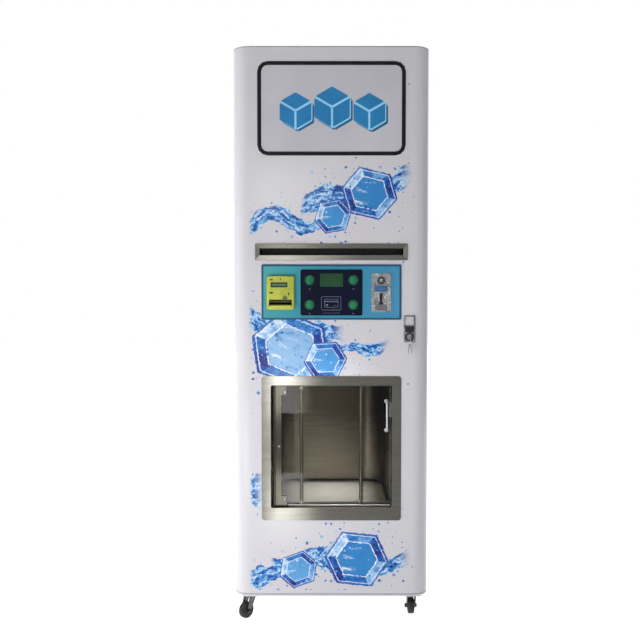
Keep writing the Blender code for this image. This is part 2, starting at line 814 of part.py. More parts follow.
def base_plate():
    """Floor plate of the whole machine, with the four caster pads and the lower door pin."""
    plate = outline("base_plate", [bend_path(0, REAR)], (CASTER_HEIGHT, BASE_TOP), UP)
    pad_low = CASTER_HEIGHT - PAD_THICKNESS
    places = [(x, y) for _, x, y, _ in caster_places()]
    pads = [rounded(centred(x, PAD_SIDE), centred(y, PAD_SIDE), PANEL_RADIUS) for x, y in places]
    join(plate, outline("caster_pads", pads, (pad_low, CASTER_HEIGHT + BASE_THICKNESS / 2), UP))
    sockets = [circle(place, KINGPIN_RADIUS + SEAT, SMALL_STEPS) for place in places]
    depth = (pad_low - OVERRUN, pad_low + KINGPIN_LENGTH + SEAT)
    cut(plate, outline("kingpin_sockets", sockets, depth, UP))
    middle = BASE_TOP - BASE_THICKNESS / 2
    pin = hinge_pin("lower_hinge_pin", middle, BASE_TOP + HINGE_LENGTH, (middle, DOOR_LOW - SEAT))
    return join(plate, pin)


def top_cap():
    """Lid of the machine, with its down-turned rim and the upper door pin."""
    cap = outline("top_cap", [bend_path(0, REAR)], (CAP_UNDER, HEIGHT), UP)
    xs = (-INNER_HALF, INNER_HALF)
    ys = (FRAME_BACK + SEAT, SIDE_BACK - SHEET - SEAT)
    middle = HEIGHT - CAP_THICKNESS / 2
    rim = [rounded(xs, ys), rounded(grown(xs, -SHEET), grown(ys, -SHEET))]
    join(cap, outline("cap_rim", rim, (CAP_UNDER - CAP_RIM_DEPTH, middle), UP))
    pin = hinge_pin("upper_hinge_pin", CAP_UNDER - HINGE_LENGTH, middle, (DOOR_HIGH + SEAT, middle))
    return join(cap, pin)


def side_panel(name, side):
    """One side wall, a sheet that laps the front frame and is folded inwards at its back edge."""
    half = WIDTH / 2
    loop = [(half, CABINET_FRONT), (half - SHEET, CABINET_FRONT), (half - SHEET, SIDE_BACK - SHEET)]
    loop += [(half - FLANGE, SIDE_BACK - SHEET), (half - FLANGE, SIDE_BACK), (half, SIDE_BACK)]
    return outline(name, [[(side * x, y) for x, y in loop]], (SHELL_LOW, SHELL_HIGH), UP)


def front_frame():
    """Welded front frame, open at the delivery mouth, above it and at the machinery below."""
    member = INNER_HALF - FRAME_MEMBER
    loops = [rounded((-INNER_HALF, INNER_HALF), (SHELL_LOW, SHELL_HIGH))]
    loops.append(rounded(centred(0, MOUTH_WIDTH), (MOUTH_Z, MOUTH_TOP), MOUTH_RADIUS))
    loops.append(rounded((-member, member), (MOUTH_TOP + FRAME_MEMBER, SHELL_HIGH - FRAME_MEMBER)))
    loops.append(rounded((-member, member), (SHELL_LOW + FRAME_MEMBER, MOUTH_Z - FRAME_MEMBER)))
    return outline("front_frame", loops, (CABINET_FRONT, FRAME_BACK), FACING_FRONT)


def louvre_heights():
    return [BASE_TOP + LOUVRE_FLOOR + row * LOUVRE_PITCH for row in range(LOUVRE_ROWS)]


def rear_cover():
    """Screwed back cover, with pressed louvres behind the condenser and the service holes."""
    loops = [rounded((-WIDTH / 2, WIDTH / 2), (SHELL_LOW, SHELL_HIGH))]
    xs = centred(LOUVRE_CENTRE, LOUVRE_WIDTH)
    for height in louvre_heights():
        loops.append(rounded(xs, (height, height + LOUVRE_SLOT)))
    power = (centred(POWER_X, POWER_WIDTH), centred(SERVICE_Z, POWER_HEIGHT))
    loops.append(rounded(grown(power[0], HOLE_CLEARANCE), grown(power[1], HOLE_CLEARANCE)))
    loops.append(circle((WATER_X, SERVICE_Z), WATER_RADIUS + HOLE_CLEARANCE))
    loops.append(circle((DRAIN_X, SERVICE_Z), DRAIN_RADIUS + HOLE_CLEARANCE))
    cover = outline("rear_cover", loops, (COVER_FRONT, REAR), FACING_FRONT)
    inside = REAR - SHEET / 2
    hoods = []
    for height in louvre_heights():
        top = height + LOUVRE_SLOT
        outer = REAR + LOUVRE_LIFT
        hoods.append([(inside, top + SHEET), (outer, height + SHEET), (outer, height), (inside, top)])
    return join(cover, outline("louvre_hoods", hoods, xs, FACING_SIDE))


def tub_plan(half, back, radius, front):
    """Plan outline of the delivery tub, with its two round back corners."""
    loop = [(-half, front), (half, front)]
    loop += arc((half - radius, back - radius), radius, 0, 90, BEND_STEPS)
    loop += arc((radius - half, back - radius), radius, 90, 180, BEND_STEPS)
    return loop


def delivery_tub():
    """Stainless tub that the ice falls into, open to the front, with a drain and a chute hole."""
    half = MOUTH_WIDTH / 2
    outer = tub_plan(half + TUB_SHEET, TUB_BACK + TUB_SHEET, TUB_CORNER + TUB_SHEET, TUB_FRONT)
    levels = (MOUTH_Z, MOUTH_TOP)
    tub = outline("delivery_tub", [outer], grown(levels, TUB_SHEET), UP)
    mouth = (centred(0, MOUTH_WIDTH), levels)
    rim = [rounded(grown(mouth[0], TUB_FLANGE), grown(mouth[1], TUB_FLANGE))]
    rim.append(rounded(grown(mouth[0], TUB_SHEET / 2), grown(mouth[1], TUB_SHEET / 2)))
    join(tub, outline("tub_flange", rim, (TUB_FRONT, TUB_FRONT + TUB_SHEET), FACING_FRONT))
    inner = tub_plan(half, TUB_BACK, TUB_CORNER, TUB_FRONT - OVERRUN)
    cut(tub, outline("tub_inside", [inner], levels, UP))
    hole = (centred(0, 2 * CHUTE_HALF), centred(CHUTE_Y, CHUTE_LENGTH))
    cut(tub, block("tub_chute_hole", *hole, (MOUTH_TOP - OVERRUN, MOUTH_TOP + TUB_SHEET + OVERRUN)))
    drain = (MOUTH_Z - TUB_SHEET - OVERRUN, MOUTH_Z + OVERRUN)
    return cut(tub, bar_z("tub_drain_hole", DRAIN_BORE, drain, DRAIN_X, TUB_BACK - DRAIN_FROM_BACK))


def tub_floor_plate():
    """Loose floor plate of the tub, which lifts out for cleaning."""
    half = MOUTH_WIDTH / 2 - FLOOR_INSET
    loop = tub_plan(half, TUB_BACK - FLOOR_INSET, TUB_CORNER - FLOOR_INSET, TUB_FRONT)
    return outline("tub_floor_plate", [loop], (MOUTH_Z + SEAT, MOUTH_Z + SEAT + FLOOR_THICKNESS), UP)


def bin_half_section(radius, half, top):
    """Half of the bin's section: round trough, tangent slope, upright wall."""
    points = arc((0, BIN_AXIS_UP), radius, -90, math.degrees(TROUGH_SLOPE), FOLD_STEPS)
    rise = (half - radius * math.cos(TROUGH_SLOPE)) / -math.sin(TROUGH_SLOPE)
    knee = BIN_AXIS_UP + radius * math.sin(TROUGH_SLOPE) + rise * math.cos(TROUGH_SLOPE)
    return points + [(half, knee), (half, top)]


def mirrored(points):
    """A half section run through its mirror image, from the left rim to the right rim."""
    return [(-x, z) for x, z in reversed(points[1:])] + points


def ice_bin():
    """Hopper that stores the ice: a trough with the auger in it, hung by its rims."""
    level = BIN_TOP - BIN_SHEET / 2
    wall = bin_half_section(TROUGH_RADIUS + BIN_SHEET, BIN_HALF + BIN_SHEET, level)
    body = outline("ice_bin", [mirrored(wall)], BIN_Y, FACING_FRONT)
    rims = (BIN_Y[0] + BIN_SHEET / 2, BIN_Y[1] - BIN_SHEET / 2)
    join(body, block("bin_rims", (-INNER_HALF, INNER_HALF), rims, (BIN_TOP - BIN_SHEET, BIN_TOP)))
    xs = centred(0, 2 * CHUTE_HALF)
    ys = centred(CHUTE_Y, CHUTE_TOP_LENGTH)
    shoulder = BIN_AXIS_UP - TROUGH_RADIUS * NECK_SHARE
    join(body, block("bin_neck", grown(xs, CHUTE_SHEET), grown(ys, CHUTE_SHEET), (NECK_LOW, shoulder)))
    room = mirrored(bin_half_section(TROUGH_RADIUS, BIN_HALF, BIN_TOP + OVERRUN))
    cut(body, outline("bin_inside", [room], grown(BIN_Y, -BIN_SHEET), FACING_FRONT))
    cut(body, block("bin_outlet", xs, ys, (NECK_LOW - OVERRUN, BIN_AXIS_UP)))
    through = grown(BIN_Y, OVERRUN)
    return cut(body, bar_y("bin_bearings", AUGER_JOURNAL + AUGER_CLEARANCE, through, 0, BIN_AXIS_UP))


def ice_auger():
    """Screw conveyor: a helical flight on a shaft, which runs in the bin's two end walls."""
    inside = grown(BIN_Y, -BIN_SHEET - AUGER_CLEARANCE)
    out = BIN_Y[0] - OVERRUN
    profile = [(0, -out), (AUGER_JOURNAL, -out), (AUGER_JOURNAL, -inside[0])]
    profile += [(AUGER_SHAFT, -inside[0]), (AUGER_SHAFT, -inside[1]), (AUGER_JOURNAL, -inside[1])]
    profile += [(AUGER_JOURNAL, -AUGER_END), (0, -AUGER_END)]
    shaft = turned("ice_auger", profile, (0, 0, BIN_AXIS_UP), FACING_FRONT, SMALL_STEPS)
    low = -inside[1] + AUGER_CLEARANCE
    pitch = (inside[1] - inside[0] - 2 * AUGER_CLEARANCE - AUGER_FLIGHT) / AUGER_TURNS
    root = AUGER_SHAFT * AUGER_ROOT_SHARE
    mesh = bpy.data.meshes.new("auger_flight")
    across, up = math.cos(AUGER_START), math.sin(AUGER_START)
    near, far = (root * across, root * up), (AUGER_RADIUS * across, AUGER_RADIUS * up)
    corners = [(*near, low), (*far, low), (*far, low + AUGER_FLIGHT), (*near, low + AUGER_FLIGHT)]
    mesh.from_pydata(corners, [(0, 1), (1, 2), (2, 3), (3, 0)], [])
    flight = add_object("auger_flight", mesh, (0, 0, BIN_AXIS_UP), FACING_FRONT)
    screw = flight.modifiers.new("helix", "SCREW")
    screw.axis = "Z"
    screw.angle = math.radians(360)
    screw.screw_offset = pitch
    screw.iterations = AUGER_TURNS
    screw.steps = AUGER_STEPS
    screw.render_steps = AUGER_STEPS
    join(shaft, baked(flight))
    return shaft


def auger_motor():
    """Gear motor on the back wall of the bin, with the socket that drives the auger."""
    half = MOTOR_WIDTH / 2
    ys = (BIN_Y[1] + SEAT, BIN_Y[1] + SEAT + MOTOR_LENGTH)
    levels = centred(BIN_AXIS_UP, MOTOR_WIDTH)
    motor = block("auger_motor", (-half, half), ys, levels)
    middle = (ys[0] + ys[1]) / 2
    can = (levels[1] - OVERRUN, levels[1] + MOTOR_CAN)
    join(motor, bar_z("motor_can", MOTOR_LENGTH / 2 - SHEET, can, 0, middle))
    socket = (ys[0] - OVERRUN, AUGER_END + AUGER_CLEARANCE)
    return cut(motor, bar_y("motor_socket", AUGER_JOURNAL + AUGER_CLEARANCE, socket, 0, BIN_AXIS_UP))


def ice_chute():
    """Sheet chute from the neck of the bin to the roof of the tub."""
    xs = centred(0, 2 * CHUTE_HALF)
    top = centred(CHUTE_Y, CHUTE_TOP_LENGTH)
    low = centred(CHUTE_Y, CHUTE_LENGTH)
    lift = CHUTE_FOOT + CHUTE_SHEET
    edge = CHUTE_SHEET
    rings = [plan_ring(xs, top, CHUTE_TOP, edge), plan_ring(xs, low, CHUTE_FOOT, edge)]
    rings.append(plan_ring(grown(xs, CHUTE_FLANGE), grown(low, CHUTE_FLANGE), CHUTE_FOOT, edge))
    rings.append(plan_ring(grown(xs, CHUTE_FLANGE), grown(low, CHUTE_FLANGE), lift, edge))
    rings.append(plan_ring(grown(xs, CHUTE_SHEET), grown(low, CHUTE_SHEET), lift, edge))
    rings.append(plan_ring(grown(xs, CHUTE_SHEET), grown(top, CHUTE_SHEET), CHUTE_TOP, edge))
    chute = ring_solid("ice_chute", rings)
    holes = grown(xs, CHUTE_SHEET + OVERRUN)
    return cut(chute, bar_x("gate_bearings", GATE_PIN + SEAT, holes, GATE_Y, GATE_Z, SMALL_STEPS))


def chute_gate():
    """Flap that closes the chute, on a pin in the chute's side walls."""
    xs = grown(centred(0, 2 * CHUTE_HALF), -GATE_SIDE)
    ys = (GATE_Y, CHUTE_Y + CHUTE_LENGTH / 2 - GATE_SIDE)
    gate = block("chute_gate", xs, ys, centred(GATE_Z, GATE_THICKNESS))
    join(gate, bar_x("gate_barrel", GATE_BARREL, grown(xs, -SEAT), GATE_Y, GATE_Z, SMALL_STEPS))
    pin = centred(0, 2 * (CHUTE_HALF + CHUTE_SHEET))
    return join(gate, bar_x("gate_pin", GATE_PIN, pin, GATE_Y, GATE_Z, SMALL_STEPS))


def machine_deck():
    """Shelf under the ice maker, with the hole that the ice drops through."""
    xs = (-INNER_HALF, INNER_HALF)
    ys = (FRAME_BACK + SEAT, SIDE_BACK - SHEET - SEAT)
    hole = rounded((-DROP_HALF, DROP_HALF), (FRONT + DROP_FRONT, FRONT + DROP_BACK))
    deck = outline("machine_deck", [rounded(xs, ys), hole], (DECK_LOW, DECK_TOP), UP)
    lip = (DECK_LOW - DECK_LIP, DECK_LOW + DECK_THICKNESS / 2)
    inner = grown(xs, -FLANGE)
    join(deck, block("deck_front_lip", inner, (ys[0], ys[0] + SHEET), lip))
    return join(deck, block("deck_back_lip", inner, (ys[1] - SHEET, ys[1]), lip))


def ice_maker():
    """Casing of the ice maker, open below over the bin, with the evaporator hung from its roof."""
    xs = (-MAKER_HALF, MAKER_HALF)
    ys = (FRONT + MAKER_FRONT, FRONT + MAKER_BACK)
    levels = (DECK_TOP + SEAT, CAP_UNDER - MAKER_HEADROOM)
    maker = block("ice_maker", xs, ys, levels, MAKER_EDGE)
    panel = (ys[0] - OVERRUN, ys[0] + MAKER_PANEL_DEPTH)
    inset = (grown(xs, -MAKER_PANEL_INSET), grown(levels, -MAKER_PANEL_INSET))
    cut(maker, block("maker_panel", inset[0], panel, inset[1]))
    roof = levels[1] - MAKER_WALL
    room = (grown(xs, -MAKER_WALL), grown(ys, -MAKER_WALL), (levels[0] - OVERRUN, roof))
    cut(maker, block("maker_inside", *room))
    plan = (centred(0, EVAPORATOR_WIDTH), centred((ys[0] + ys[1]) / 2, EVAPORATOR_DEPTH))
    hung = (roof - EVAPORATOR_HEIGHT, roof + MAKER_WALL / 2)
    return join(maker, block("maker_evaporator", *plan, hung))


def compressor():
    """Hermetic compressor: two welded domes on a foot plate."""
    place = (COMPRESSOR_X, FRONT + COMPRESSOR_BEHIND)
    low = SHELL_LOW + COMPRESSOR_FOOT_THICKNESS / 2
    foot = [rounded(centred(place[0], COMPRESSOR_FOOT), centred(place[1], COMPRESSOR_FOOT), PAD_SIDE / 2)]
    plate = outline("compressor", foot, (SHELL_LOW, SHELL_LOW + COMPRESSOR_FOOT_THICKNESS), UP)
    profile = []
    for step in range(FOLD_STEPS + 1):
        angle = math.radians(90) * step / FOLD_STEPS
        height = COMPRESSOR_HEIGHT - COMPRESSOR_DOME * (1 - math.cos(angle))
        profile.append((COMPRESSOR_RADIUS * math.sin(angle), height))
    middle = COMPRESSOR_HEIGHT / 2
    seam = COMPRESSOR_RADIUS + COMPRESSOR_SEAM
    profile += [(COMPRESSOR_RADIUS, middle + COMPRESSOR_SEAM), (seam, middle + COMPRESSOR_SEAM / 2)]
    profile += [(seam, middle - COMPRESSOR_SEAM / 2), (COMPRESSOR_RADIUS, middle - COMPRESSOR_SEAM)]
    profile += [(COMPRESSOR_RADIUS, COMPRESSOR_DOME), (COMPRESSOR_RADIUS - COMPRESSOR_DOME / 2, 0), (0, 0)]
    return join(plate, turned("compressor_can", profile, (*place, low)))


def condenser():
    """Condenser with its fins, fan shroud and fan motor on one tray."""
    xs = centred(CONDENSER_X, CONDENSER_WIDTH)
    low = SHELL_LOW + TRAY_THICKNESS / 2
    loop = [(xs[0], CORE_FRONT), (xs[1], CORE_FRONT)]
    pitch = (CONDENSER_WIDTH) / (FIN_COUNT - 1 + FIN_SHARE)
    for fin in range(FIN_COUNT):
        right = xs[1] - fin * pitch
        left = right - pitch * FIN_SHARE
        root = CORE_FRONT + FIN_ROOT
        if fin:
            loop.append((right, root))
        loop += [(right, CORE_BACK), (left, CORE_BACK)]
        if fin < FIN_COUNT - 1:
            loop.append((left, root))
    tray_front = FAN_MOTOR_Y[0]
    levels = (SHELL_LOW, SHELL_LOW + TRAY_THICKNESS)
    tray = block("condenser", xs, (tray_front, CORE_BACK), levels)
    top = SHELL_LOW + CONDENSER_HEIGHT
    join(tray, outline("condenser_fins", [loop], (low, top), UP))
    plate = rounded(grown(xs, -SHEET), (SHELL_LOW + SHEET / 2, top - SHEET))
    ring = [plate, circle((CONDENSER_X, FAN_Z), FAN_RADIUS + FAN_TIP_GAP, 2 * ROUND_STEPS)]
    shroud = (CORE_FRONT - SHROUD_DEPTH, CORE_FRONT + FIN_ROOT / 2)
    join(tray, outline("fan_shroud", ring, shroud, FACING_FRONT))
    front, back = FAN_MOTOR_Y
    profile = [(0, -front), (FAN_MOTOR_RADIUS, -front), (FAN_MOTOR_RADIUS, -back)]
    profile += [(FAN_SHAFT, -back), (FAN_SHAFT, -FAN_Y), (0, -FAN_Y)]
    join(tray, turned("fan_motor", profile, (CONDENSER_X, 0, FAN_Z), FACING_FRONT))
    pedestal = (low + SEAT, FAN_Z - FAN_MOTOR_RADIUS / 2)
    ys = grown(FAN_MOTOR_Y, -SHEET)
    return join(tray, block("fan_pedestal", centred(CONDENSER_X, FAN_PEDESTAL), ys, pedestal))


def fan_blades():
    """Fan: pitched blades round a hub that sits on the motor's shaft."""
    ys = centred(FAN_Y, FAN_HUB_LENGTH)
    hub = bar_y("fan_blades", FAN_HUB_RADIUS, ys, CONDENSER_X, FAN_Z)
    spread = math.degrees(FAN_BLADE_ANGLE) / 2
    root = FAN_HUB_RADIUS * FAN_ROOT_SHARE
    chord = math.degrees(math.asin(math.sin(math.radians(spread)) * FAN_ROOT_SHARE))
    tip = arc((0, 0), FAN_RADIUS, -spread, spread, FOLD_STEPS)
    loop = arc((0, 0), root, chord, -chord, ROOT_STEPS) + tip
    for number in range(FAN_BLADES):
        blade = outline(f"fan_blade_{number + 1}", [loop], centred(0, FAN_BLADE_THICKNESS), UP)
        around = Matrix.Rotation(math.radians(360) * number / FAN_BLADES, 4, "Y")
        pitch = Matrix.Rotation(math.radians(90) + FAN_PITCH, 4, "X")
        blade.location = (CONDENSER_X, FAN_Y, FAN_Z)
        blade.rotation_euler = (around @ pitch).to_euler()
        join(hub, blade)
    bore = (ys[0] - OVERRUN, FAN_Y + SEAT)
    return cut(hub, bar_y("fan_bore", FAN_SHAFT + AUGER_CLEARANCE, bore, CONDENSER_X, FAN_Z, SMALL_STEPS))


def power_inlet():
    """Mains inlet in the back cover."""
    xs = centred(POWER_X, POWER_WIDTH)
    zs = centred(SERVICE_Z, POWER_HEIGHT)
    flange = (REAR + SEAT, REAR + POWER_PROUD)
    inlet = block("power_inlet", grown(xs, POWER_FLANGE), flange, grown(zs, POWER_FLANGE))
    join(inlet, block("inlet_body", xs, (COVER_FRONT - POWER_DEPTH, REAR + POWER_PROUD / 2), zs))
    inner = (grown(xs, -POWER_WALL), grown(zs, -POWER_WALL))
    cavity = (COVER_FRONT - POWER_DEPTH + POWER_WALL, REAR + POWER_PROUD + OVERRUN)
    return cut(inlet, block("inlet_cavity", inner[0], cavity, inner[1]))


def water_inlet():
    """Threaded water connection, turned, with its flange on the back cover."""
    bottom = FITTING_REACH - WATER_BORE_DEPTH
    profile = [(0, bottom), (WATER_BORE, bottom), (WATER_BORE, FITTING_REACH)]
    profile += [(WATER_RADIUS, FITTING_REACH), (WATER_RADIUS, WATER_FLANGE_DEPTH)]
    profile += [(WATER_FLANGE, WATER_FLANGE_DEPTH), (WATER_FLANGE, SEAT), (WATER_RADIUS, SEAT)]
    profile += [(WATER_RADIUS, -WATER_BODY), (0, -WATER_BODY)]
    return turned("water_inlet", profile, (WATER_X, REAR, SERVICE_Z), FACING_BACK)


def drain_pipe():
    """Melt-water pipe from the tub's floor to the back of the machine."""
    top = MOUTH_Z - TUB_SHEET - SEAT
    y = TUB_BACK - DRAIN_FROM_BACK
    bend = arc((y + DRAIN_BEND, SERVICE_Z + DRAIN_BEND), DRAIN_BEND, 180, 270, FOLD_STEPS)
    points = [(DRAIN_X, y, top)] + [(DRAIN_X, v, w) for v, w in bend]
    points.append((DRAIN_X, REAR + FITTING_REACH, SERVICE_Z))
    pipe = tube("drain_pipe", points, DRAIN_RADIUS, 4)
    bore = (REAR + FITTING_REACH - DRAIN_BORE_DEPTH, REAR + FITTING_REACH + OVERRUN)
    return cut(pipe, bar_y("drain_bore", DRAIN_BORE, bore, DRAIN_X, SERVICE_Z, SMALL_STEPS))


def caster(name, x, y, swivel, steel, rubber):
    """A swivel caster: a fork on its kingpin, and a wheel on its axle behind the kingpin."""
    crown_top = CASTER_HEIGHT - PAD_THICKNESS - SEAT
    crown_low = crown_top - CROWN_THICKNESS
    stem = pivot(f"caster_{name}_swivel", (x, y, 0), None, (0, 0, swivel))
    profile = [(0, crown_top + KINGPIN_LENGTH), (KINGPIN_RADIUS, crown_top + KINGPIN_LENGTH)]
    profile += [(KINGPIN_RADIUS, crown_top), (CROWN_RADIUS, crown_top)]
    profile += [(CROWN_RADIUS, crown_low), (0, crown_low)]
    fork = turned(f"caster_fork_{name}", profile, (0, 0, 0))
    eye = arc((CASTER_TRAIL, WHEEL_RADIUS), LEG_EYE, 200, 380, FOLD_STEPS)
    high = (crown_top + crown_low) / 2
    leg = [(-CROWN_RADIUS * LEG_BACK_SHARE, high)] + eye + [(CROWN_RADIUS * LEG_FRONT_SHARE, high)]
    inner = WHEEL_WIDTH / 2 + LEG_GAP
    spans = {"left": (-inner - LEG_THICKNESS, -inner), "right": (inner, inner + LEG_THICKNESS)}
    shapes = [outline(f"{name}_{side}_leg", [leg], span, FACING_SIDE) for side, span in spans.items()]
    hole = centred(0, 2 * (inner + LEG_THICKNESS + OVERRUN))
    bore = bar_x(f"{name}_axle_hole", AXLE_RADIUS + SEAT, hole, CASTER_TRAIL, WHEEL_RADIUS, SMALL_STEPS)
    for obj in [fork, bore] + shapes:
        obj.parent = stem
    join(fork, *shapes)
    cut(fork, bore)
    dress(fork, steel)
    side = WHEEL_WIDTH / 2
    nut = inner + LEG_THICKNESS + SEAT
    half = [(0, nut + AXLE_END), (AXLE_NUT_RADIUS, nut + AXLE_END), (AXLE_NUT_RADIUS, nut)]
    half += [(AXLE_RADIUS, nut), (AXLE_RADIUS, side), (WHEEL_RADIUS - WHEEL_EDGE, side)]
    half.append((WHEEL_RADIUS - WHEEL_EDGE * WHEEL_EDGE_SHARE, side - WHEEL_EDGE * WHEEL_EDGE_SHARE))
    half.append((WHEEL_RADIUS, side - WHEEL_EDGE))
    profile = half + [(radius, -height) for radius, height in reversed(half)]
    wheel = turned(f"caster_wheel_{name}", profile, (0, CASTER_TRAIL, WHEEL_RADIUS), LYING)
    wheel.parent = stem
    dress(wheel, rubber)


def sign_opening():
    """The clear opening inside the sign's gasket."""
    xs = grown(centred(0, SIGN_WIDTH), -SIGN_BAND)
    return xs, grown(centred(SIGN_MIDDLE, SIGN_HEIGHT), -SIGN_BAND)


def door_openings():
    """All cut-outs in the front sheet of the service door."""
    xs, zs = sign_opening()
    margin = SIGN_LAP + HOLE_CLEARANCE
    loops = [rounded(grown(xs, margin), grown(zs, margin), SIGN_RADIUS - SIGN_BAND + margin)]
    slot = (centred(0, SLOT_WIDTH), centred(SLOT_MIDDLE, SLOT_HEIGHT))
    margin = TRIM_SHEET + HOLE_CLEARANCE
    loops.append(rounded(grown(slot[0], margin), grown(slot[1], margin)))
    panel = (centred(0, PANEL_WIDTH), (PANEL_LOW, PANEL_LOW + PANEL_HEIGHT))
    loops.append(rounded(grown(panel[0], -PANEL_LAP), grown(panel[1], -PANEL_LAP), PANEL_RADIUS))
    housing = lock_housing()
    loops.append(rounded(grown(housing[0], HOLE_CLEARANCE), grown(housing[1], HOLE_CLEARANCE)))
    mouth = (centred(0, MOUTH_WIDTH), (MOUTH_Z, MOUTH_TOP))
    margin = FRAME_SHEET + HOLE_CLEARANCE
    loops.append(rounded(grown(mouth[0], margin), grown(mouth[1], margin), MOUTH_RADIUS + margin))
    return loops


def lock_housing():
    xs = grown(centred(LOCK_X, LOCK_WIDTH), -LOCK_HOUSING_MARGIN)
    return xs, (LOCK_LOW + LOCK_HOUSING_MARGIN, LOCK_LOW + LOCK_HEIGHT - LOCK_HOUSING_MARGIN)


def service_door_skin():
    """Door pan: one folded sheet with bent front edges and a lip all round its back."""
    bm = bmesh.new()
    path = bend_path(0, FRONT + DOOR_DEPTH)
    floor = bm.faces.new([bm.verts.new((x, y, DOOR_LOW)) for x, y in path])
    lifted = bmesh.ops.extrude_face_region(bm, geom=[floor])
    verts = [item for item in lifted["geom"] if isinstance(item, bmesh.types.BMVert)]
    bmesh.ops.translate(bm, vec=(0, 0, DOOR_HIGH - DOOR_LOW), verts=verts)
    bmesh.ops.recalc_face_normals(bm, faces=bm.faces)
    rear = [face for face in bm.faces if face.normal.y > BACK_FACING_SHARE]
    bmesh.ops.inset_region(bm, faces=rear, thickness=DOOR_LIP, use_even_offset=True)
    bmesh.ops.delete(bm, geom=rear, context="FACES")
    door = add_bmesh("service_door_skin", bm)
    sheet = door.modifiers.new("sheet", "SOLIDIFY")
    sheet.thickness = SHEET
    sheet.offset = -1
    sheet.use_even_offset = True
    depth = (FRONT - OVERRUN, SKIN_BACK + OVERRUN)
    cut(door, outline("door_openings", door_openings(), depth, FACING_FRONT))
    through = (DOOR_LOW - OVERRUN, DOOR_HIGH + OVERRUN)
    return cut(door, bar_z("door_pin_holes", HINGE_RADIUS + HOLE_CLEARANCE, through, HINGE_X, HINGE_Y))


def door_gasket():
    """Rubber seal on the back lip of the door, which meets the cabinet's front."""
    outer = (centred(0, WIDTH - 2 * SEAL_INSET), grown((DOOR_LOW, DOOR_HIGH), -SEAL_INSET))
    loops = [rounded(*outer, SEAL_BAND)]
    loops.append(rounded(grown(outer[0], -SEAL_BAND), grown(outer[1], -SEAL_BAND), SEAL_BAND / 2))
    back = FRONT + DOOR_DEPTH
    return outline("door_gasket", loops, (back + SEAT, back + SEAL_DEPTH - SEAT), FACING_FRONT)


def sign_gasket():
    """Black rubber frame that holds the sign's window in the door."""
    outer = (centred(0, SIGN_WIDTH), centred(SIGN_MIDDLE, SIGN_HEIGHT))
    inner = sign_opening()
    crest = SIGN_BAND * SIGN_CREST_SHARE
    proud = ON_SKIN - SIGN_PROUD
    radius = SIGN_RADIUS - SIGN_BAND
    rings = [front_ring(*outer, ON_SKIN, SIGN_RADIUS)]
    rings.append(front_ring(grown(outer[0], -crest), grown(outer[1], -crest), proud, SIGN_RADIUS - crest))
    rings.append(front_ring(grown(inner[0], crest), grown(inner[1], crest), proud, radius + crest))
    rings.append(front_ring(*inner, ON_SKIN, radius))
    return ring_solid("sign_gasket", rings)


def sign_window():
    """Frosted acrylic face of the lit sign."""
    xs, zs = sign_opening()
    loop = rounded(grown(xs, SIGN_LAP), grown(zs, SIGN_LAP), SIGN_RADIUS - SIGN_BAND + SIGN_LAP)
    return outline("sign_window", [loop], (FRONT, FRONT + WINDOW_THICKNESS), FACING_FRONT)


def sign_light_box():
    """White tray behind the window, with the lamps' light inside it."""
    xs, zs = sign_opening()
    inner = (grown(xs, LIGHT_BOX_MARGIN), grown(zs, LIGHT_BOX_MARGIN))
    front = SKIN_BACK + SEAT
    depth = (front, front + LIGHT_BOX_DEPTH)
    tray = block("sign_light_box", grown(inner[0], SHEET), depth, grown(inner[1], SHEET))
    cut(tray, block("light_box_inside", inner[0], (front - OVERRUN, depth[1] - SHEET), inner[1]))
    return tray


def slot_trim():
    """Dished stainless trim of the bag slot, with its short throat."""
    outer = (centred(0, SLOT_TRIM_WIDTH), centred(SLOT_MIDDLE, SLOT_TRIM_HEIGHT))
    slot = (centred(0, SLOT_WIDTH), centred(SLOT_MIDDLE, SLOT_HEIGHT))
    sleeve = (grown(slot[0], TRIM_SHEET), grown(slot[1], TRIM_SHEET))
    back = FRONT + SLOT_THROAT
    crest = ON_SKIN - SLOT_DISH
    rings = [front_ring(*outer, ON_SKIN, PANEL_RADIUS)]
    inner = (grown(outer[0], -SLOT_EDGE), grown(outer[1], -SLOT_EDGE))
    rings.append(front_ring(*inner, crest, PANEL_RADIUS - SLOT_EDGE))
    rings.append(front_ring(*slot, ON_SKIN - SLOT_DISH / 2, SLOT_EDGE))
    rings.append(front_ring(*slot, back, SLOT_EDGE))
    rings.append(front_ring(*sleeve, back, SLOT_EDGE))
    rings.append(front_ring(*sleeve, ON_SKIN, SLOT_EDGE))
    return ring_solid("slot_trim", rings)


def bag_roll_cradle():
    """Bracket inside the door: a strip with an ear at each end for the roll's spindle."""
    low = ROLL_Z - ROLL_RADIUS - SHEET
    strip = (low, low + CRADLE_STRIP)
    ys = (SKIN_BACK + SEAT, SKIN_BACK + SEAT + SHEET)
    cradle = block("bag_roll_cradle", centred(0, 2 * (EAR_X + ROLL_EAR)), ys, strip)
    reach = 2 * ROLL_SPINDLE
    loop = [(ys[0], low), (ROLL_Y, ROLL_Z - reach)]
    loop += arc((ROLL_Y, ROLL_Z), reach, -60, 120, FOLD_STEPS) + [(ys[0], strip[1])]
    hole = circle((ROLL_Y, ROLL_Z), ROLL_SPINDLE + HOLE_CLEARANCE, SMALL_STEPS)
    for side in (-1, 1):
        ends = sorted((side * EAR_X, side * (EAR_X + ROLL_EAR)))
        join(cradle, outline(f"cradle_ear_{side + 2}", [loop, hole], ends, FACING_SIDE))
    return cradle


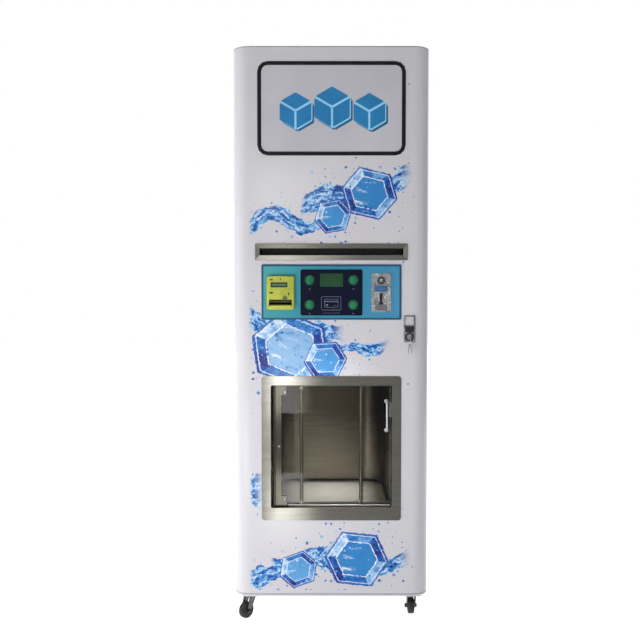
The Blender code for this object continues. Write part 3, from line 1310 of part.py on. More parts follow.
def bag_roll():
    """Roll of bags on its spindle."""
    half = ROLL_LENGTH / 2
    end = EAR_X + ROLL_EAR + SHEET
    profile = [(0, end), (ROLL_SPINDLE, end), (ROLL_SPINDLE, half), (ROLL_RADIUS, half)]
    profile += [(radius, -height) for radius, height in reversed(profile)]
    return turned("bag_roll", profile, (0, ROLL_Y, ROLL_Z), LYING)


def note_body_section():
    xs = grown(centred(NOTE_X, NOTE_WIDTH), -NOTE_BODY_MARGIN)
    zs = (PANEL_LOW + NOTE_LOW, PANEL_LOW + NOTE_LOW + NOTE_HEIGHT)
    return xs, grown(zs, -NOTE_BODY_MARGIN)


def coin_body_section():
    xs = grown(centred(COIN_X, COIN_WIDTH), -COIN_BODY_MARGIN)
    zs = (PANEL_LOW + COIN_LOW, PANEL_LOW + COIN_LOW + COIN_HEIGHT)
    return xs, grown(zs, -COIN_BODY_MARGIN)


def button_places():
    """Names and centres of the four round buttons."""
    places = []
    for column, x in (("left", -BUTTON_SPREAD / 2), ("right", BUTTON_SPREAD / 2)):
        for row, up in (("lower", BUTTON_LOW), ("upper", BUTTON_LOW + BUTTON_PITCH)):
            places.append((f"button_{row}_{column}", x, PANEL_LOW + KEYPAD_LOW + up))
    return places


def button_holes():
    radius = BUTTON_RADIUS + BUTTON_CLEARANCE
    return [circle((x, z), radius) for _, x, z in button_places()]


def control_plate():
    """Aluminium plate that carries the keypad and the two payment units."""
    loops = [rounded(centred(0, PANEL_WIDTH), (PANEL_LOW, PANEL_LOW + PANEL_HEIGHT), PANEL_RADIUS)]
    for xs, zs in (note_body_section(), coin_body_section()):
        loops.append(rounded(grown(xs, HOLE_CLEARANCE), grown(zs, HOLE_CLEARANCE)))
    return outline("control_plate", loops + button_holes(), (PLATE_FRONT, ON_SKIN), FACING_FRONT)


def display_section(clearance=0.0):
    xs = grown(centred(0, DISPLAY_WIDTH), clearance)
    low = PANEL_LOW + KEYPAD_LOW + DISPLAY_LOW
    return rounded(xs, grown((low, low + DISPLAY_HEIGHT), clearance))


def keypad_panel():
    """Dark keypad panel with holes for its buttons and its display."""
    low = PANEL_LOW + KEYPAD_LOW
    loops = [rounded(centred(0, KEYPAD_WIDTH), (low, low + KEYPAD_HEIGHT), KEYPAD_RADIUS)]
    loops += button_holes() + [display_section(HOLE_CLEARANCE)]
    return outline("keypad_panel", loops, (KEYPAD_FRONT, ON_PLATE), FACING_FRONT)


def display_window():
    """Lens of the display, flush in the keypad panel."""
    return outline("display_window", [display_section()], (KEYPAD_FRONT - SEAT, ON_PLATE), FACING_FRONT)


def push_button(name, x, z):
    """Domed push button, kept from falling out by the flange behind the plate."""
    top = BUTTON_PROUD - KEYPAD_FRONT
    profile = []
    for step in range(FOLD_STEPS + 1):
        angle = math.radians(90) * step / FOLD_STEPS
        drop = BUTTON_PROUD / 2 * (1 - math.cos(angle))
        profile.append((BUTTON_RADIUS * math.sin(angle), top - drop))
    flange = BUTTON_RADIUS + BUTTON_FLANGE
    profile += [(BUTTON_RADIUS, -FRONT), (flange, -FRONT), (flange, -FRONT - SHEET), (0, -FRONT - SHEET)]
    return turned(name, profile, (x, 0, z), FACING_FRONT)


def bill_acceptor_bezel():
    """Moulded mouth of the banknote acceptor, with its slot and the lip below it."""
    low = PANEL_LOW + NOTE_LOW
    zs = (low, low + NOTE_HEIGHT)
    ys = (ON_PLATE - NOTE_REACH, ON_PLATE)
    xs = centred(NOTE_X, NOTE_WIDTH)
    bezel = raised_plate("bill_acceptor_bezel", xs, zs, ys, NOTE_EDGE * 2, NOTE_EDGE)
    slot = (centred(NOTE_X, NOTE_SLOT_WIDTH), centred(low + NOTE_SLOT_UP, NOTE_SLOT_HEIGHT))
    lip_top = slot[1][0] - NOTE_MOUTH_MARGIN
    lip_y = ys[0] + NOTE_EDGE
    lip = arc((lip_y, lip_top), NOTE_LIP_REACH + NOTE_EDGE, 180, 270, FOLD_STEPS) + [(lip_y, lip_top)]
    join(bezel, outline("note_lip", [lip], slot[0], FACING_SIDE))
    mouth = (grown(slot[0], NOTE_MOUTH_MARGIN), grown(slot[1], NOTE_MOUTH_MARGIN))
    cut(bezel, block("note_mouth", mouth[0], (ys[0] - OVERRUN, ys[0] + NOTE_MOUTH_DEPTH), mouth[1]))
    return cut(bezel, block("note_slot", slot[0], grown(ys, OVERRUN), slot[1]))


def bill_acceptor_body():
    """Closed housing of the banknote acceptor, behind the control plate."""
    xs, zs = note_body_section()
    front = ON_PLATE + SEAT
    body = block("bill_acceptor_body", xs, (front, front + NOTE_BODY_DEPTH), zs)
    middle = PANEL_LOW + NOTE_LOW + NOTE_SLOT_UP
    slot = (centred(NOTE_X, NOTE_SLOT_WIDTH), centred(middle, NOTE_SLOT_HEIGHT))
    return cut(body, block("note_path", slot[0], (front - OVERRUN, front + NOTE_PATH_DEPTH), slot[1]))


def coin_slot():
    low = PANEL_LOW + COIN_LOW + COIN_SLOT_UP
    return centred(COIN_X, COIN_SLOT_WIDTH), (low, low + COIN_SLOT_HEIGHT)


def return_button_section():
    low = PANEL_LOW + COIN_LOW + RETURN_BUTTON_UP
    return centred(COIN_X, RETURN_BUTTON_WIDTH), (low, low + RETURN_BUTTON_HEIGHT)


def cup_section():
    low = PANEL_LOW + COIN_LOW + CUP_UP
    return centred(COIN_X, CUP_WIDTH), (low, low + CUP_HEIGHT)


def coin_plate():
    """Chromed plate of the coin unit, with the coin slot, the return button and the cup."""
    zs = (PANEL_LOW + COIN_LOW, PANEL_LOW + COIN_LOW + COIN_HEIGHT)
    loops = [rounded(centred(COIN_X, COIN_WIDTH), zs, COIN_RADIUS), rounded(*coin_slot(), SLOT_EDGE)]
    loops += [rounded(*return_button_section(), SLOT_EDGE), rounded(*cup_section(), SLOT_EDGE)]
    return outline("coin_plate", loops, (ON_PLATE - COIN_THICKNESS, ON_PLATE), FACING_FRONT)


def coin_mech_body():
    """Closed housing of the coin unit, with the coin's path, the button's pocket and the cup."""
    xs, zs = coin_body_section()
    front = ON_PLATE + SEAT
    body = block("coin_mech_body", xs, (front, front + COIN_BODY_DEPTH), zs)
    path = coin_slot()
    cut(body, block("coin_path", path[0], (front - OVERRUN, front + COIN_PATH_DEPTH), path[1]))
    pocket = return_button_section()
    margin = RETURN_FLANGE + HOLE_CLEARANCE
    depth = (front - OVERRUN, front + SHEET + RETURN_TRAVEL + RUN_GAP)
    cut(body, block("return_pocket", grown(pocket[0], margin), depth, grown(pocket[1], margin)))
    cup = cup_section()
    room = (cup[1][0] - HOLE_CLEARANCE, cup[1][1] + 4 * FLAP_BARREL)
    return cut(body, block("cup", grown(cup[0], RUN_GAP), (front - OVERRUN, front + CUP_DEPTH), room))


def coin_return_button():
    """Push button of the coin return, with its flange behind the plate."""
    xs, zs = return_button_section()
    front = ON_PLATE - COIN_THICKNESS - RETURN_BUTTON_PROUD
    cap = (grown(xs, -BUTTON_CLEARANCE), grown(zs, -BUTTON_CLEARANCE))
    depth = (front, ON_PLATE + SHEET)
    button = raised_plate("coin_return_button", *cap, depth, SLOT_EDGE, SLOT_EDGE / 2)
    flange = (grown(xs, RETURN_FLANGE), grown(zs, RETURN_FLANGE))
    behind = (ON_PLATE + SEAT, ON_PLATE + SEAT + SHEET)
    return join(button, block("return_flange", flange[0], behind, flange[1]))


def coin_return_flap():
    """Flap of the coin cup, hung from its barrel behind the plate."""
    xs, zs = cup_section()
    plate = (ON_PLATE + SEAT, ON_PLATE + SEAT + FLAP_THICKNESS)
    flap = block("coin_return_flap", grown(xs, SEAT), plate, (zs[0] + HOLE_CLEARANCE, FLAP_Z))
    return join(flap, bar_x("flap_barrel", FLAP_BARREL, grown(xs, SLOT_EDGE), FLAP_Y, FLAP_Z, SMALL_STEPS))


def paddle_section():
    top = LOCK_LOW + LOCK_HEIGHT - PADDLE_TOP_MARGIN
    return centred(LOCK_X, PADDLE_WIDTH), (top - PADDLE_HEIGHT, top)


def lock_plate():
    """Plate and housing of the door lock, with the paddle's pocket and the cylinder's bore."""
    zs = (LOCK_LOW, LOCK_LOW + LOCK_HEIGHT)
    face = ON_SKIN - LOCK_PROUD
    ys = (face, ON_SKIN)
    plate = raised_plate("lock_plate", centred(LOCK_X, LOCK_WIDTH), zs, ys, LOCK_RADIUS, LOCK_PROUD / 2)
    housing = lock_housing()
    depth = (ON_SKIN - LOCK_PROUD / 2, FRONT + LOCK_HOUSING_DEPTH)
    join(plate, block("lock_housing", housing[0], depth, housing[1]))
    xs, paddle = paddle_section()
    room = (paddle[0] - PADDLE_CLEARANCE, paddle[1] + PADDLE_HEADROOM)
    pocket = (face - OVERRUN, PADDLE_BACK + RUN_GAP)
    cut(plate, block("paddle_pocket", grown(xs, PADDLE_CLEARANCE), pocket, room))
    bore = (face - OVERRUN, FRONT + LOCK_HOUSING_DEPTH + OVERRUN)
    return cut(plate, bar_y("lock_bore", CYLINDER_RADIUS + CYLINDER_CLEARANCE, bore, LOCK_X, KEY_Z))


def lock_paddle():
    """Pull paddle of the lock, hinged at its top edge."""
    xs, zs = paddle_section()
    return block("lock_paddle", xs, (PADDLE_FRONT, PADDLE_BACK), zs, PADDLE_CLEARANCE, 2)


def lock_key():
    """Lock cylinder with its tail, and the key that turns it."""
    face = ON_SKIN - LOCK_PROUD - CYLINDER_PROUD
    back = FRONT + LOCK_HOUSING_DEPTH
    profile = [(0, -face), (CYLINDER_RADIUS, -face), (CYLINDER_RADIUS, -back)]
    profile += [(TAIL_RADIUS, -back), (TAIL_RADIUS, -CAM_Y[1] - SHEET), (0, -CAM_Y[1] - SHEET)]
    key = turned("lock_key", profile, (LOCK_X, 0, KEY_Z), FACING_FRONT)
    middle = FRONT - KEY_REACH + KEY_BOW
    half = KEY_SHANK / 2
    angle = math.degrees(math.asin(half / KEY_BOW))
    bow = arc((middle, KEY_Z), KEY_BOW, angle, 360 - angle, ROUND_STEPS)
    bow += [(face + SHEET, KEY_Z - half), (face + SHEET, KEY_Z + half)]
    hole = circle((middle, KEY_Z), KEY_HOLE, SMALL_STEPS)
    return join(key, outline("key_blade", [bow, hole], centred(LOCK_X, KEY_THICKNESS), FACING_SIDE))


def latch_cam():
    """Latch on the cylinder's tail, which catches behind the front frame when it is turned."""
    end = KEY_Z - CAM_LENGTH + CAM_RADIUS
    loop = arc((LOCK_X, KEY_Z), CAM_RADIUS, 0, 180, FOLD_STEPS)
    loop += arc((LOCK_X, end), CAM_RADIUS, 180, 360, FOLD_STEPS)
    hole = circle((LOCK_X, KEY_Z), TAIL_RADIUS + SEAT, ROUND_STEPS)
    return outline("latch_cam", [loop, hole], CAM_Y, FACING_FRONT)


def delivery_frame():
    """Stainless frame of the delivery opening, with its throat through the door and a door stop."""
    outer = (centred(0, FRAME_WIDTH), (FRAME_LOW, FRAME_LOW + FRAME_HEIGHT))
    mouth = (centred(0, MOUTH_WIDTH), (MOUTH_Z, MOUTH_TOP))
    sleeve = (grown(mouth[0], FRAME_SHEET), grown(mouth[1], FRAME_SHEET))
    face = ON_SKIN - FRAME_SHEET
    back = FRONT + DOOR_DEPTH
    sleeve_radius = MOUTH_RADIUS + FRAME_SHEET
    rings = [front_ring(*outer, face, FRAME_RADIUS), front_ring(*mouth, face, MOUTH_RADIUS)]
    rings += [front_ring(*mouth, back, MOUTH_RADIUS), front_ring(*sleeve, back, sleeve_radius)]
    rings += [front_ring(*sleeve, ON_SKIN, sleeve_radius), front_ring(*outer, ON_SKIN, FRAME_RADIUS)]
    frame = ring_solid("delivery_frame", rings)
    edge = MOUTH_WIDTH / 2
    stop = (ACRYLIC_Y[1] + SEAT, ACRYLIC_Y[1] + SEAT + CATCH_THICKNESS)
    catch = (MOUTH_Z + CATCH_UP, MOUTH_Z + CATCH_UP + CATCH_HEIGHT)
    join(frame, block("door_stop", (edge - CATCH_REACH, edge + FRAME_SHEET / 2), stop, catch))
    through = grown(mouth[1], FRAME_SHEET + OVERRUN)
    return cut(frame, bar_z("pivot_holes", PIVOT_PIN + SEAT, through, PIVOT_X, PIVOT_Y, SMALL_STEPS))


def delivery_rail():
    """Hinge rail of the delivery door: a barrel on two pins, and a strip with an ear at each end."""
    low = DELIVERY_Z[0]
    high = DELIVERY_Z[1]
    strip = PIVOT_X + RAIL_WIDTH
    ear = PIVOT_X + RAIL_EAR_WIDTH
    loop = [(PIVOT_X, low), (ear, low), (ear, low + RAIL_EAR_HEIGHT), (strip, low + RAIL_EAR_HEIGHT)]
    loop += [(strip, high - RAIL_EAR_HEIGHT), (ear, high - RAIL_EAR_HEIGHT), (ear, high), (PIVOT_X, high)]
    ys = (ACRYLIC_Y[0] - SEAT - RAIL_THICKNESS, ACRYLIC_Y[0] - SEAT)
    pin = DELIVERY_GAP + FRAME_SHEET
    profile = [(0, high + pin), (PIVOT_PIN, high + pin), (PIVOT_PIN, high), (BARREL_RADIUS, high)]
    profile += [(BARREL_RADIUS, low), (PIVOT_PIN, low), (PIVOT_PIN, low - pin), (0, low - pin)]
    rail = turned("delivery_door_rail", profile, (PIVOT_X, PIVOT_Y, 0), UP, ROUND_STEPS)
    return join(rail, outline("rail_strip", [loop], ys, FACING_FRONT))


def delivery_panel():
    """Clear acrylic panel of the delivery door."""
    loop = rounded(ACRYLIC_X, DELIVERY_Z, ACRYLIC_RADIUS)
    return outline("delivery_door_panel", [loop], ACRYLIC_Y, FACING_FRONT)


def bent_bar(name, x, y, reach, levels, radius, bend):
    """A round bar bent to a D, with both ends at y and its grip at y plus reach."""
    side = 1 if reach > 0 else -1
    inner = y + reach - side * bend
    points = [(x, y, levels[0])]
    turn = arc((0, 0), bend, -90, 0, FOLD_STEPS)
    points += [(x, inner + side * u, levels[0] + bend + v) for u, v in turn]
    points += [(x, inner + side * u, levels[1] - bend - v) for u, v in reversed(turn)]
    points.append((x, y, levels[1]))
    return tube(name, points, radius, 3)


def delivery_handle():
    """Chromed wire pull of the delivery door, with a boss at each end."""
    x = ACRYLIC_X[1] - HANDLE_INSET
    low = MOUTH_Z + HANDLE_ABOVE
    levels = grown((low, low + HANDLE_LENGTH), -HANDLE_WIRE)
    seat = ACRYLIC_Y[0] - SEAT
    foot = seat - SEAT
    handle = bent_bar("delivery_handle", x, foot, -HANDLE_REACH, levels, HANDLE_WIRE, HANDLE_BEND)
    for number, z in enumerate(levels):
        boss = (seat - HANDLE_BOSS_HEIGHT, seat)
        join(handle, bar_y(f"handle_boss_{number + 1}", HANDLE_BOSS, boss, x, z, SMALL_STEPS))
    return handle


def guard_rod(name, x):
    """Stainless guard rod behind the panel, bent forward to it at both ends."""
    levels = grown((MOUTH_Z, MOUTH_TOP), -ROD_END_INSET)
    return bent_bar(name, x, ACRYLIC_Y[1] + SEAT, ROD_STANDOFF, levels, ROD_RADIUS, ROD_BEND)


def build():
    """Make every piece in its place, each with its own material, on the pivot that carries it."""
    clear_scene()
    white = finish("white_paint", (0.86, 0.87, 0.89), 0.25)
    steel = finish("brushed_stainless", (0.62, 0.62, 0.61), 0.32, 1.0)
    zinc = finish("zinc_plate", (0.55, 0.56, 0.58), 0.45, 1.0)
    chrome = finish("chrome", (0.80, 0.80, 0.82), 0.10, 1.0)
    rubber = finish("black_rubber", (0.02, 0.02, 0.022), 0.6)
    frosted = finish("frosted_acrylic", (0.83, 0.86, 0.90), 0.35)
    clear = finish("clear_acrylic", (0.85, 0.90, 0.90), 0.05, 0.0, 0.25)
    blue = finish("control_blue", (0.06, 0.30, 0.55), 0.35)
    navy = finish("keypad_navy", (0.01, 0.02, 0.06), 0.35)
    green = finish("button_green", (0.02, 0.30, 0.13), 0.3)
    glass = finish("display_green", (0.05, 0.12, 0.03), 0.15)
    yellow = finish("acceptor_yellow", (0.75, 0.72, 0.08), 0.4)
    black = finish("black_plastic", (0.015, 0.015, 0.017), 0.45)
    plastic = finish("white_plastic", (0.80, 0.81, 0.82), 0.4)
    paper = finish("bag_film", (0.78, 0.82, 0.85), 0.3)
    machine = finish("machine_black", (0.02, 0.02, 0.02), 0.5)
    fins = finish("aluminium_fins", (0.70, 0.71, 0.72), 0.4, 1.0)

    dress(base_plate(), white)
    dress(top_cap(), white)
    dress(side_panel("left_side_panel", -1), white)
    dress(side_panel("right_side_panel", 1), white)
    dress(front_frame(), zinc)
    dress(rear_cover(), white)
    dress(delivery_tub(), steel)
    dress(tub_floor_plate(), plastic)
    dress(ice_bin(), steel)
    dress(auger_motor(), machine)
    dress(ice_chute(), steel)
    dress(machine_deck(), zinc)
    dress(ice_maker(), steel)
    dress(compressor(), machine)
    dress(condenser(), fins)
    dress(power_inlet(), black)
    dress(water_inlet(), chrome)
    dress(drain_pipe(), plastic)
    for name, x, y, swivel in caster_places():
        caster(name, x, y, swivel, zinc, rubber)

    spin = pivot("auger_axis", (0, (BIN_Y[0] + BIN_Y[1]) / 2, BIN_AXIS_UP))
    dress(ice_auger(), steel, spin)
    dress(chute_gate(), steel, pivot("gate_axis", (0, GATE_Y, GATE_Z)))
    dress(fan_blades(), machine, pivot("fan_axis", (CONDENSER_X, FAN_Y, FAN_Z)))

    door = pivot("service_door_axis", (HINGE_X, HINGE_Y, DOOR_LOW))
    dress(service_door_skin(), white, door)
    dress(door_gasket(), rubber, door)
    dress(sign_gasket(), rubber, door)
    dress(sign_window(), frosted, door)
    dress(sign_light_box(), plastic, door)
    dress(slot_trim(), steel, door)
    dress(bag_roll_cradle(), zinc, door)
    dress(control_plate(), blue, door)
    dress(keypad_panel(), navy, door)
    dress(display_window(), glass, door)
    dress(bill_acceptor_bezel(), yellow, door)
    dress(bill_acceptor_body(), black, door)
    dress(coin_plate(), chrome, door)
    dress(coin_mech_body(), black, door)
    dress(lock_plate(), chrome, door)
    dress(delivery_frame(), steel, door)
    dress(bag_roll(), paper, pivot("bag_roll_axis", (0, ROLL_Y, ROLL_Z), door))
    for name, x, z in button_places():
        dress(push_button(name, x, z), green, pivot(f"{name}_axis", (x, KEYPAD_FRONT, z), door))
    button = return_button_section()
    middle = (COIN_X, ON_PLATE, (button[1][0] + button[1][1]) / 2)
    dress(coin_return_button(), blue, pivot("coin_return_button_axis", middle, door))
    dress(coin_return_flap(), steel, pivot("coin_return_flap_axis", (COIN_X, FLAP_Y, FLAP_Z), door))
    hinge = (LOCK_X, PADDLE_BACK - PADDLE_PIN, paddle_section()[1][1] - PADDLE_PIN)
    dress(lock_paddle(), chrome, pivot("lock_paddle_axis", hinge, door))
    turn = pivot("lock_key_axis", (LOCK_X, FRONT, KEY_Z), door)
    dress(lock_key(), chrome, turn)
    dress(latch_cam(), zinc, turn)

    flap = pivot("delivery_door_axis", (PIVOT_X, PIVOT_Y, DELIVERY_Z[0]), door)
    dress(delivery_rail(), steel, flap)
    dress(delivery_panel(), clear, flap)
    dress(delivery_handle(), chrome, flap)
    dress(guard_rod("guard_rod_left", -ROD_SPREAD / 2), steel, flap)
    dress(guard_rod("guard_rod_right", ROD_SPREAD / 2), steel, flap)


build()
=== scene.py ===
"""Free-standing ice vending machine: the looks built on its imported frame."""

import json
import math

import bmesh
import bpy
from mathutils import Matrix, Vector

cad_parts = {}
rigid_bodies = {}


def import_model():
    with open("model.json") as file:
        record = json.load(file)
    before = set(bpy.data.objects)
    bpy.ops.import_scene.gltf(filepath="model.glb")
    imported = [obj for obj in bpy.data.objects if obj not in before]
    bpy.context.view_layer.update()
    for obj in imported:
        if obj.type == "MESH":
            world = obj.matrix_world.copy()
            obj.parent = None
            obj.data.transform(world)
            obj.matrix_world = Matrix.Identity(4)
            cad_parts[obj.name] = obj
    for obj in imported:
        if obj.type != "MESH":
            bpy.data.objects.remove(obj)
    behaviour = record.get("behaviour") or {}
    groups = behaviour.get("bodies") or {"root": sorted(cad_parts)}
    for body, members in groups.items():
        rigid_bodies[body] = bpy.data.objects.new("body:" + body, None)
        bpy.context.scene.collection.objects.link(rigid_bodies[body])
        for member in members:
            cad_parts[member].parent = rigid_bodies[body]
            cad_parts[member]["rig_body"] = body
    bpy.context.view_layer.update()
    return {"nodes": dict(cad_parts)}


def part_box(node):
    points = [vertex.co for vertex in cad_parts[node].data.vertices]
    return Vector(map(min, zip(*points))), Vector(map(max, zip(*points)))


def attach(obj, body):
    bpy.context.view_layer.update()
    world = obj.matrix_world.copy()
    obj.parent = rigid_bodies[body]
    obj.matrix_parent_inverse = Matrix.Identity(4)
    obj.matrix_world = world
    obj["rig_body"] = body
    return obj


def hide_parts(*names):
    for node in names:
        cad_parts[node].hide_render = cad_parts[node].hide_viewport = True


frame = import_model()

# Camera: a 46 mm lens 2.7 metres in front of the door, a little left of its middle and just under
# the payment panel's top, tipped down by two degrees.
door_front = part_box("service_door_skin")[0].y
camera_x, camera_away, camera_z, camera_tip = -0.0377, 2.6885, 1.0965, 88.023
camera = bpy.data.objects.new("camera", bpy.data.cameras.new("camera"))
bpy.context.collection.objects.link(camera)
camera.data.sensor_width = 36
camera.data.lens = 45.78
camera.location = (camera_x, door_front - camera_away, camera_z)
camera.rotation_euler = (math.radians(camera_tip), 0, 0)
bpy.context.scene.camera = camera
bpy.context.scene.view_settings.view_transform = "Standard"


# Cabinet shell: folded steel sheet under a glossy white powder coat, which shows a faint orange
# peel close up. The cap and the base plate are trays, the sides lap them, and the rear cover is
# screwed on.
def hue(colour):
    """A colour card's code as the linear colour that the shaders take; a linear one stays."""
    if not isinstance(colour, str):
        return colour
    parts = [int(colour[start:start + 2], 16) / 255 for start in (0, 2, 4)]
    return tuple(part / 12.92 if part <= 0.04045 else ((part + 0.055) / 1.055) ** 2.4
                 for part in parts)


def finish_of(name, colour, roughness, metallic=0.0, **more):
    """A finish with its colour and gloss on the shader's own sockets."""
    made = bpy.data.materials.new(name)
    made.use_nodes = True
    shader = made.node_tree.nodes["Principled BSDF"]
    shader.inputs["Base Color"].default_value = (*hue(colour), 1)
    shader.inputs["Roughness"].default_value = roughness
    shader.inputs["Metallic"].default_value = metallic
    for socket, value in more.items():
        title = socket.replace("_", " ").title().replace("Ior", "IOR")
        shader.inputs[title].default_value = value
    made.diffuse_color = (*hue(colour), 1)
    return made


def tree_of(made):
    """The nodes and the links of a finish."""
    return made.node_tree.nodes, made.node_tree.links


def noise_from(tree, place, scale, detail, rough, kind="3D"):
    """Noise at a place."""
    nodes, links = tree
    noise = nodes.new("ShaderNodeTexNoise")
    noise.noise_dimensions = kind
    for name, number in (("Scale", scale), ("Detail", detail), ("Roughness", rough)):
        noise.inputs[name].default_value = number
    links.new(place, noise.inputs["Vector"])
    return noise.outputs["Fac"]


def grain(made, scale, stretch=(1, 1, 1), detail=4.0, rough=0.5):
    """Noise on the piece's own coordinates, drawn out along the directions of a finish."""
    tree = nodes, links = tree_of(made)
    turn = nodes.new("ShaderNodeMapping")
    turn.inputs["Scale"].default_value = stretch
    links.new(nodes.new("ShaderNodeTexCoord").outputs["Object"], turn.inputs["Vector"])
    return noise_from(tree, turn.outputs["Vector"], scale, detail, rough)


def relief(made, height, strength, distance):
    """Bump from a height."""
    nodes, links = tree_of(made)
    bump = nodes.new("ShaderNodeBump")
    bump.inputs["Strength"].default_value = strength
    bump.inputs["Distance"].default_value = distance
    links.new(height, bump.inputs["Height"])
    links.new(bump.outputs["Normal"], nodes["Principled BSDF"].inputs["Normal"])


def ranged(tree, value, start, end, low, high, kind="LINEAR"):
    """Turn the range of a value into another, and stop at its ends."""
    nodes, links = tree
    step = nodes.new("ShaderNodeMapRange")
    step.interpolation_type = kind
    for name, number in zip(("From Min", "From Max", "To Min", "To Max"), (start, end, low, high)):
        step.inputs[name].default_value = number
    links.new(value, step.inputs["Value"])
    return step.outputs["Result"]


def ramped(tree, value, stops):
    """The colour that a value picks from stops of (place, colour)."""
    nodes, links = tree
    ramp = nodes.new("ShaderNodeValToRGB")
    while len(ramp.color_ramp.elements) < len(stops):
        ramp.color_ramp.elements.new(0.5)
    for element, (along, colour) in zip(ramp.color_ramp.elements, stops):
        element.position = along
        element.color = (*hue(colour), 1)
    links.new(value, ramp.inputs["Fac"])
    return ramp.outputs["Color"]


def spread(made, value, low, high, start=0.3, end=0.7):
    """Vary the roughness between two values with a noise."""
    tree = nodes, links = tree_of(made)
    links.new(ranged(tree, value, start, end, low, high),
              nodes["Principled BSDF"].inputs["Roughness"])


def tint(made, value, low, high, start=0.3, end=0.7):
    """Vary the colour between two with a noise."""
    tree = nodes, links = tree_of(made)
    colour = ramped(tree, value, ((start, low), (end, high)))
    links.new(colour, nodes["Principled BSDF"].inputs["Base Color"])


def mottled(name, colours, roughness, scale, metallic=0.0, detail=4.0, **more):
    """A finish of a first colour that wavers between two others, in patches of one scale."""
    made = finish_of(name, colours[0], roughness, metallic, **more)
    tint(made, grain(made, scale, detail=detail), *colours[1:])
    return made


def fair(name, made, edge=0.0, smooth_under=38):
    """A faired copy of a CAD piece: joined up, its curves smooth and its edges a little round."""
    same_corner, same_plane = 0.00002, math.radians(0.4)
    source = frame["nodes"][name]
    mesh = bpy.data.meshes.new("fair_" + name)
    work = bmesh.new()
    work.from_mesh(source.data)
    bmesh.ops.remove_doubles(work, verts=work.verts, dist=same_corner)
    bmesh.ops.dissolve_limit(work, angle_limit=same_plane, verts=work.verts, edges=work.edges)
    work.to_mesh(mesh)
    work.free()
    mesh.shade_smooth()
    mesh.set_sharp_from_angle(angle=math.radians(smooth_under))
    mesh.materials.clear()
    mesh.materials.append(made)
    piece = bpy.data.objects.new("fair_" + name, mesh)
    bpy.context.collection.objects.link(piece)
    if edge:
        bevel = piece.modifiers.new("edge", "BEVEL")
        bevel.width = edge
        bevel.segments = 2
        bevel.limit_method = "ANGLE"
        bevel.angle_limit = math.radians(smooth_under)
        bevel.miter_outer = "MITER_ARC"
    weigh = piece.modifiers.new("weigh", "WEIGHTED_NORMAL")
    weigh.keep_sharp = True
    weigh.weight = 80
    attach(piece, source["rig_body"])
    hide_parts(name)
    return piece


def paint(name, colour):
    """Powder coat: a clear gloss over a very slightly uneven skin."""
    coat = finish_of(name, colour, 0.24, coat_weight=0.3, coat_roughness=0.08)
    relief(coat, grain(coat, 700, detail=2), 0.03, 0.0004)
    spread(coat, grain(coat, 3, detail=1), 0.22, 0.26, 0.1, 0.9)
    return coat


shell_colour = "CFCDD2"
white = paint("white_powder_coat", shell_colour)
for name in ("base_plate", "top_cap", "left_side_panel", "right_side_panel", "rear_cover"):
    fair(name, white)
zinc = mottled("zinc_plate", ((0.50, 0.51, 0.53), (0.36, 0.37, 0.40), (0.56, 0.57, 0.59)),
               0.38, 55, 1.0, detail=3)
spread(zinc, grain(zinc, 90), 0.30, 0.48)
fair("front_frame", zinc)


# Screws of the rear cover: pan heads with a cross recess, zinc plated, one every quarter of a
# metre down both edges and three along the top.
def piece_of(name, work, made, body, smooth_under=35):
    """Close a worked-up form, smooth its curves and let it ride on a body."""
    bmesh.ops.remove_doubles(work, verts=work.verts, dist=0.000005)
    bmesh.ops.recalc_face_normals(work, faces=work.faces)
    mesh = bpy.data.meshes.new(name)
    work.to_mesh(mesh)
    work.free()
    mesh.shade_smooth()
    mesh.set_sharp_from_angle(angle=math.radians(smooth_under))
    mesh.materials.append(made)
    piece = bpy.data.objects.new(name, mesh)
    bpy.context.collection.objects.link(piece)
    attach(piece, body)
    return piece


def at(x, y, z):
    """The shift that stands a form made round the origin in its place."""
    return Matrix.Translation((x, y, z))


def turned(degrees, axis):
    """A turn about one of the three axes."""
    return Matrix.Rotation(math.radians(degrees), 4, axis)


def facing(outward, place):
    """The turn and shift that stand a form made along +Z on a face that looks outward."""
    return Matrix.Translation(place) @ Vector(outward).to_track_quat("Z", "Y").to_matrix().to_4x4()


def lathe(work, profile, where, steps):
    """Turn a profile of (radius, height) points full round, and stand it where it goes."""
    points = [work.verts.new((radius, 0, height)) for radius, height in profile]
    chain = [work.edges.new(pair) for pair in zip(points, points[1:])]
    whole = bmesh.ops.spin(work, geom=points + chain, cent=(0, 0, 0), axis=(0, 0, 1),
                           angle=math.tau, steps=steps, use_merge=True)
    made = {corner for item in whole["geom_last"] for corner in getattr(item, "verts", [item])}
    grown = set(points) | made
    reach = list(grown)
    while reach:
        corner = reach.pop()
        for edge in corner.link_edges:
            other = edge.other_vert(corner)
            if other not in grown:
                grown.add(other)
                reach.append(other)
    bmesh.ops.transform(work, verts=list(grown), matrix=where)


def round_off(work, geom, kind, radius, steps):
    """Round the edges or the corners of a form."""
    bmesh.ops.bevel(work, geom=geom, offset=radius, affect=kind, segments=steps, profile=0.5,
                    material=-1)


def slab(work, size, where, edge=0.0):
    """A plate or a bar with its edges rounded, its middle on the place it stands at."""
    corners = bmesh.ops.create_cube(work, size=1)["verts"]
    bmesh.ops.transform(work, verts=corners, matrix=where @ Matrix.Diagonal((*size, 1)))
    if edge:
        edges = list({edge for corner in corners for edge in corner.link_edges})
        round_off(work, edges, "EDGES", edge, 2)


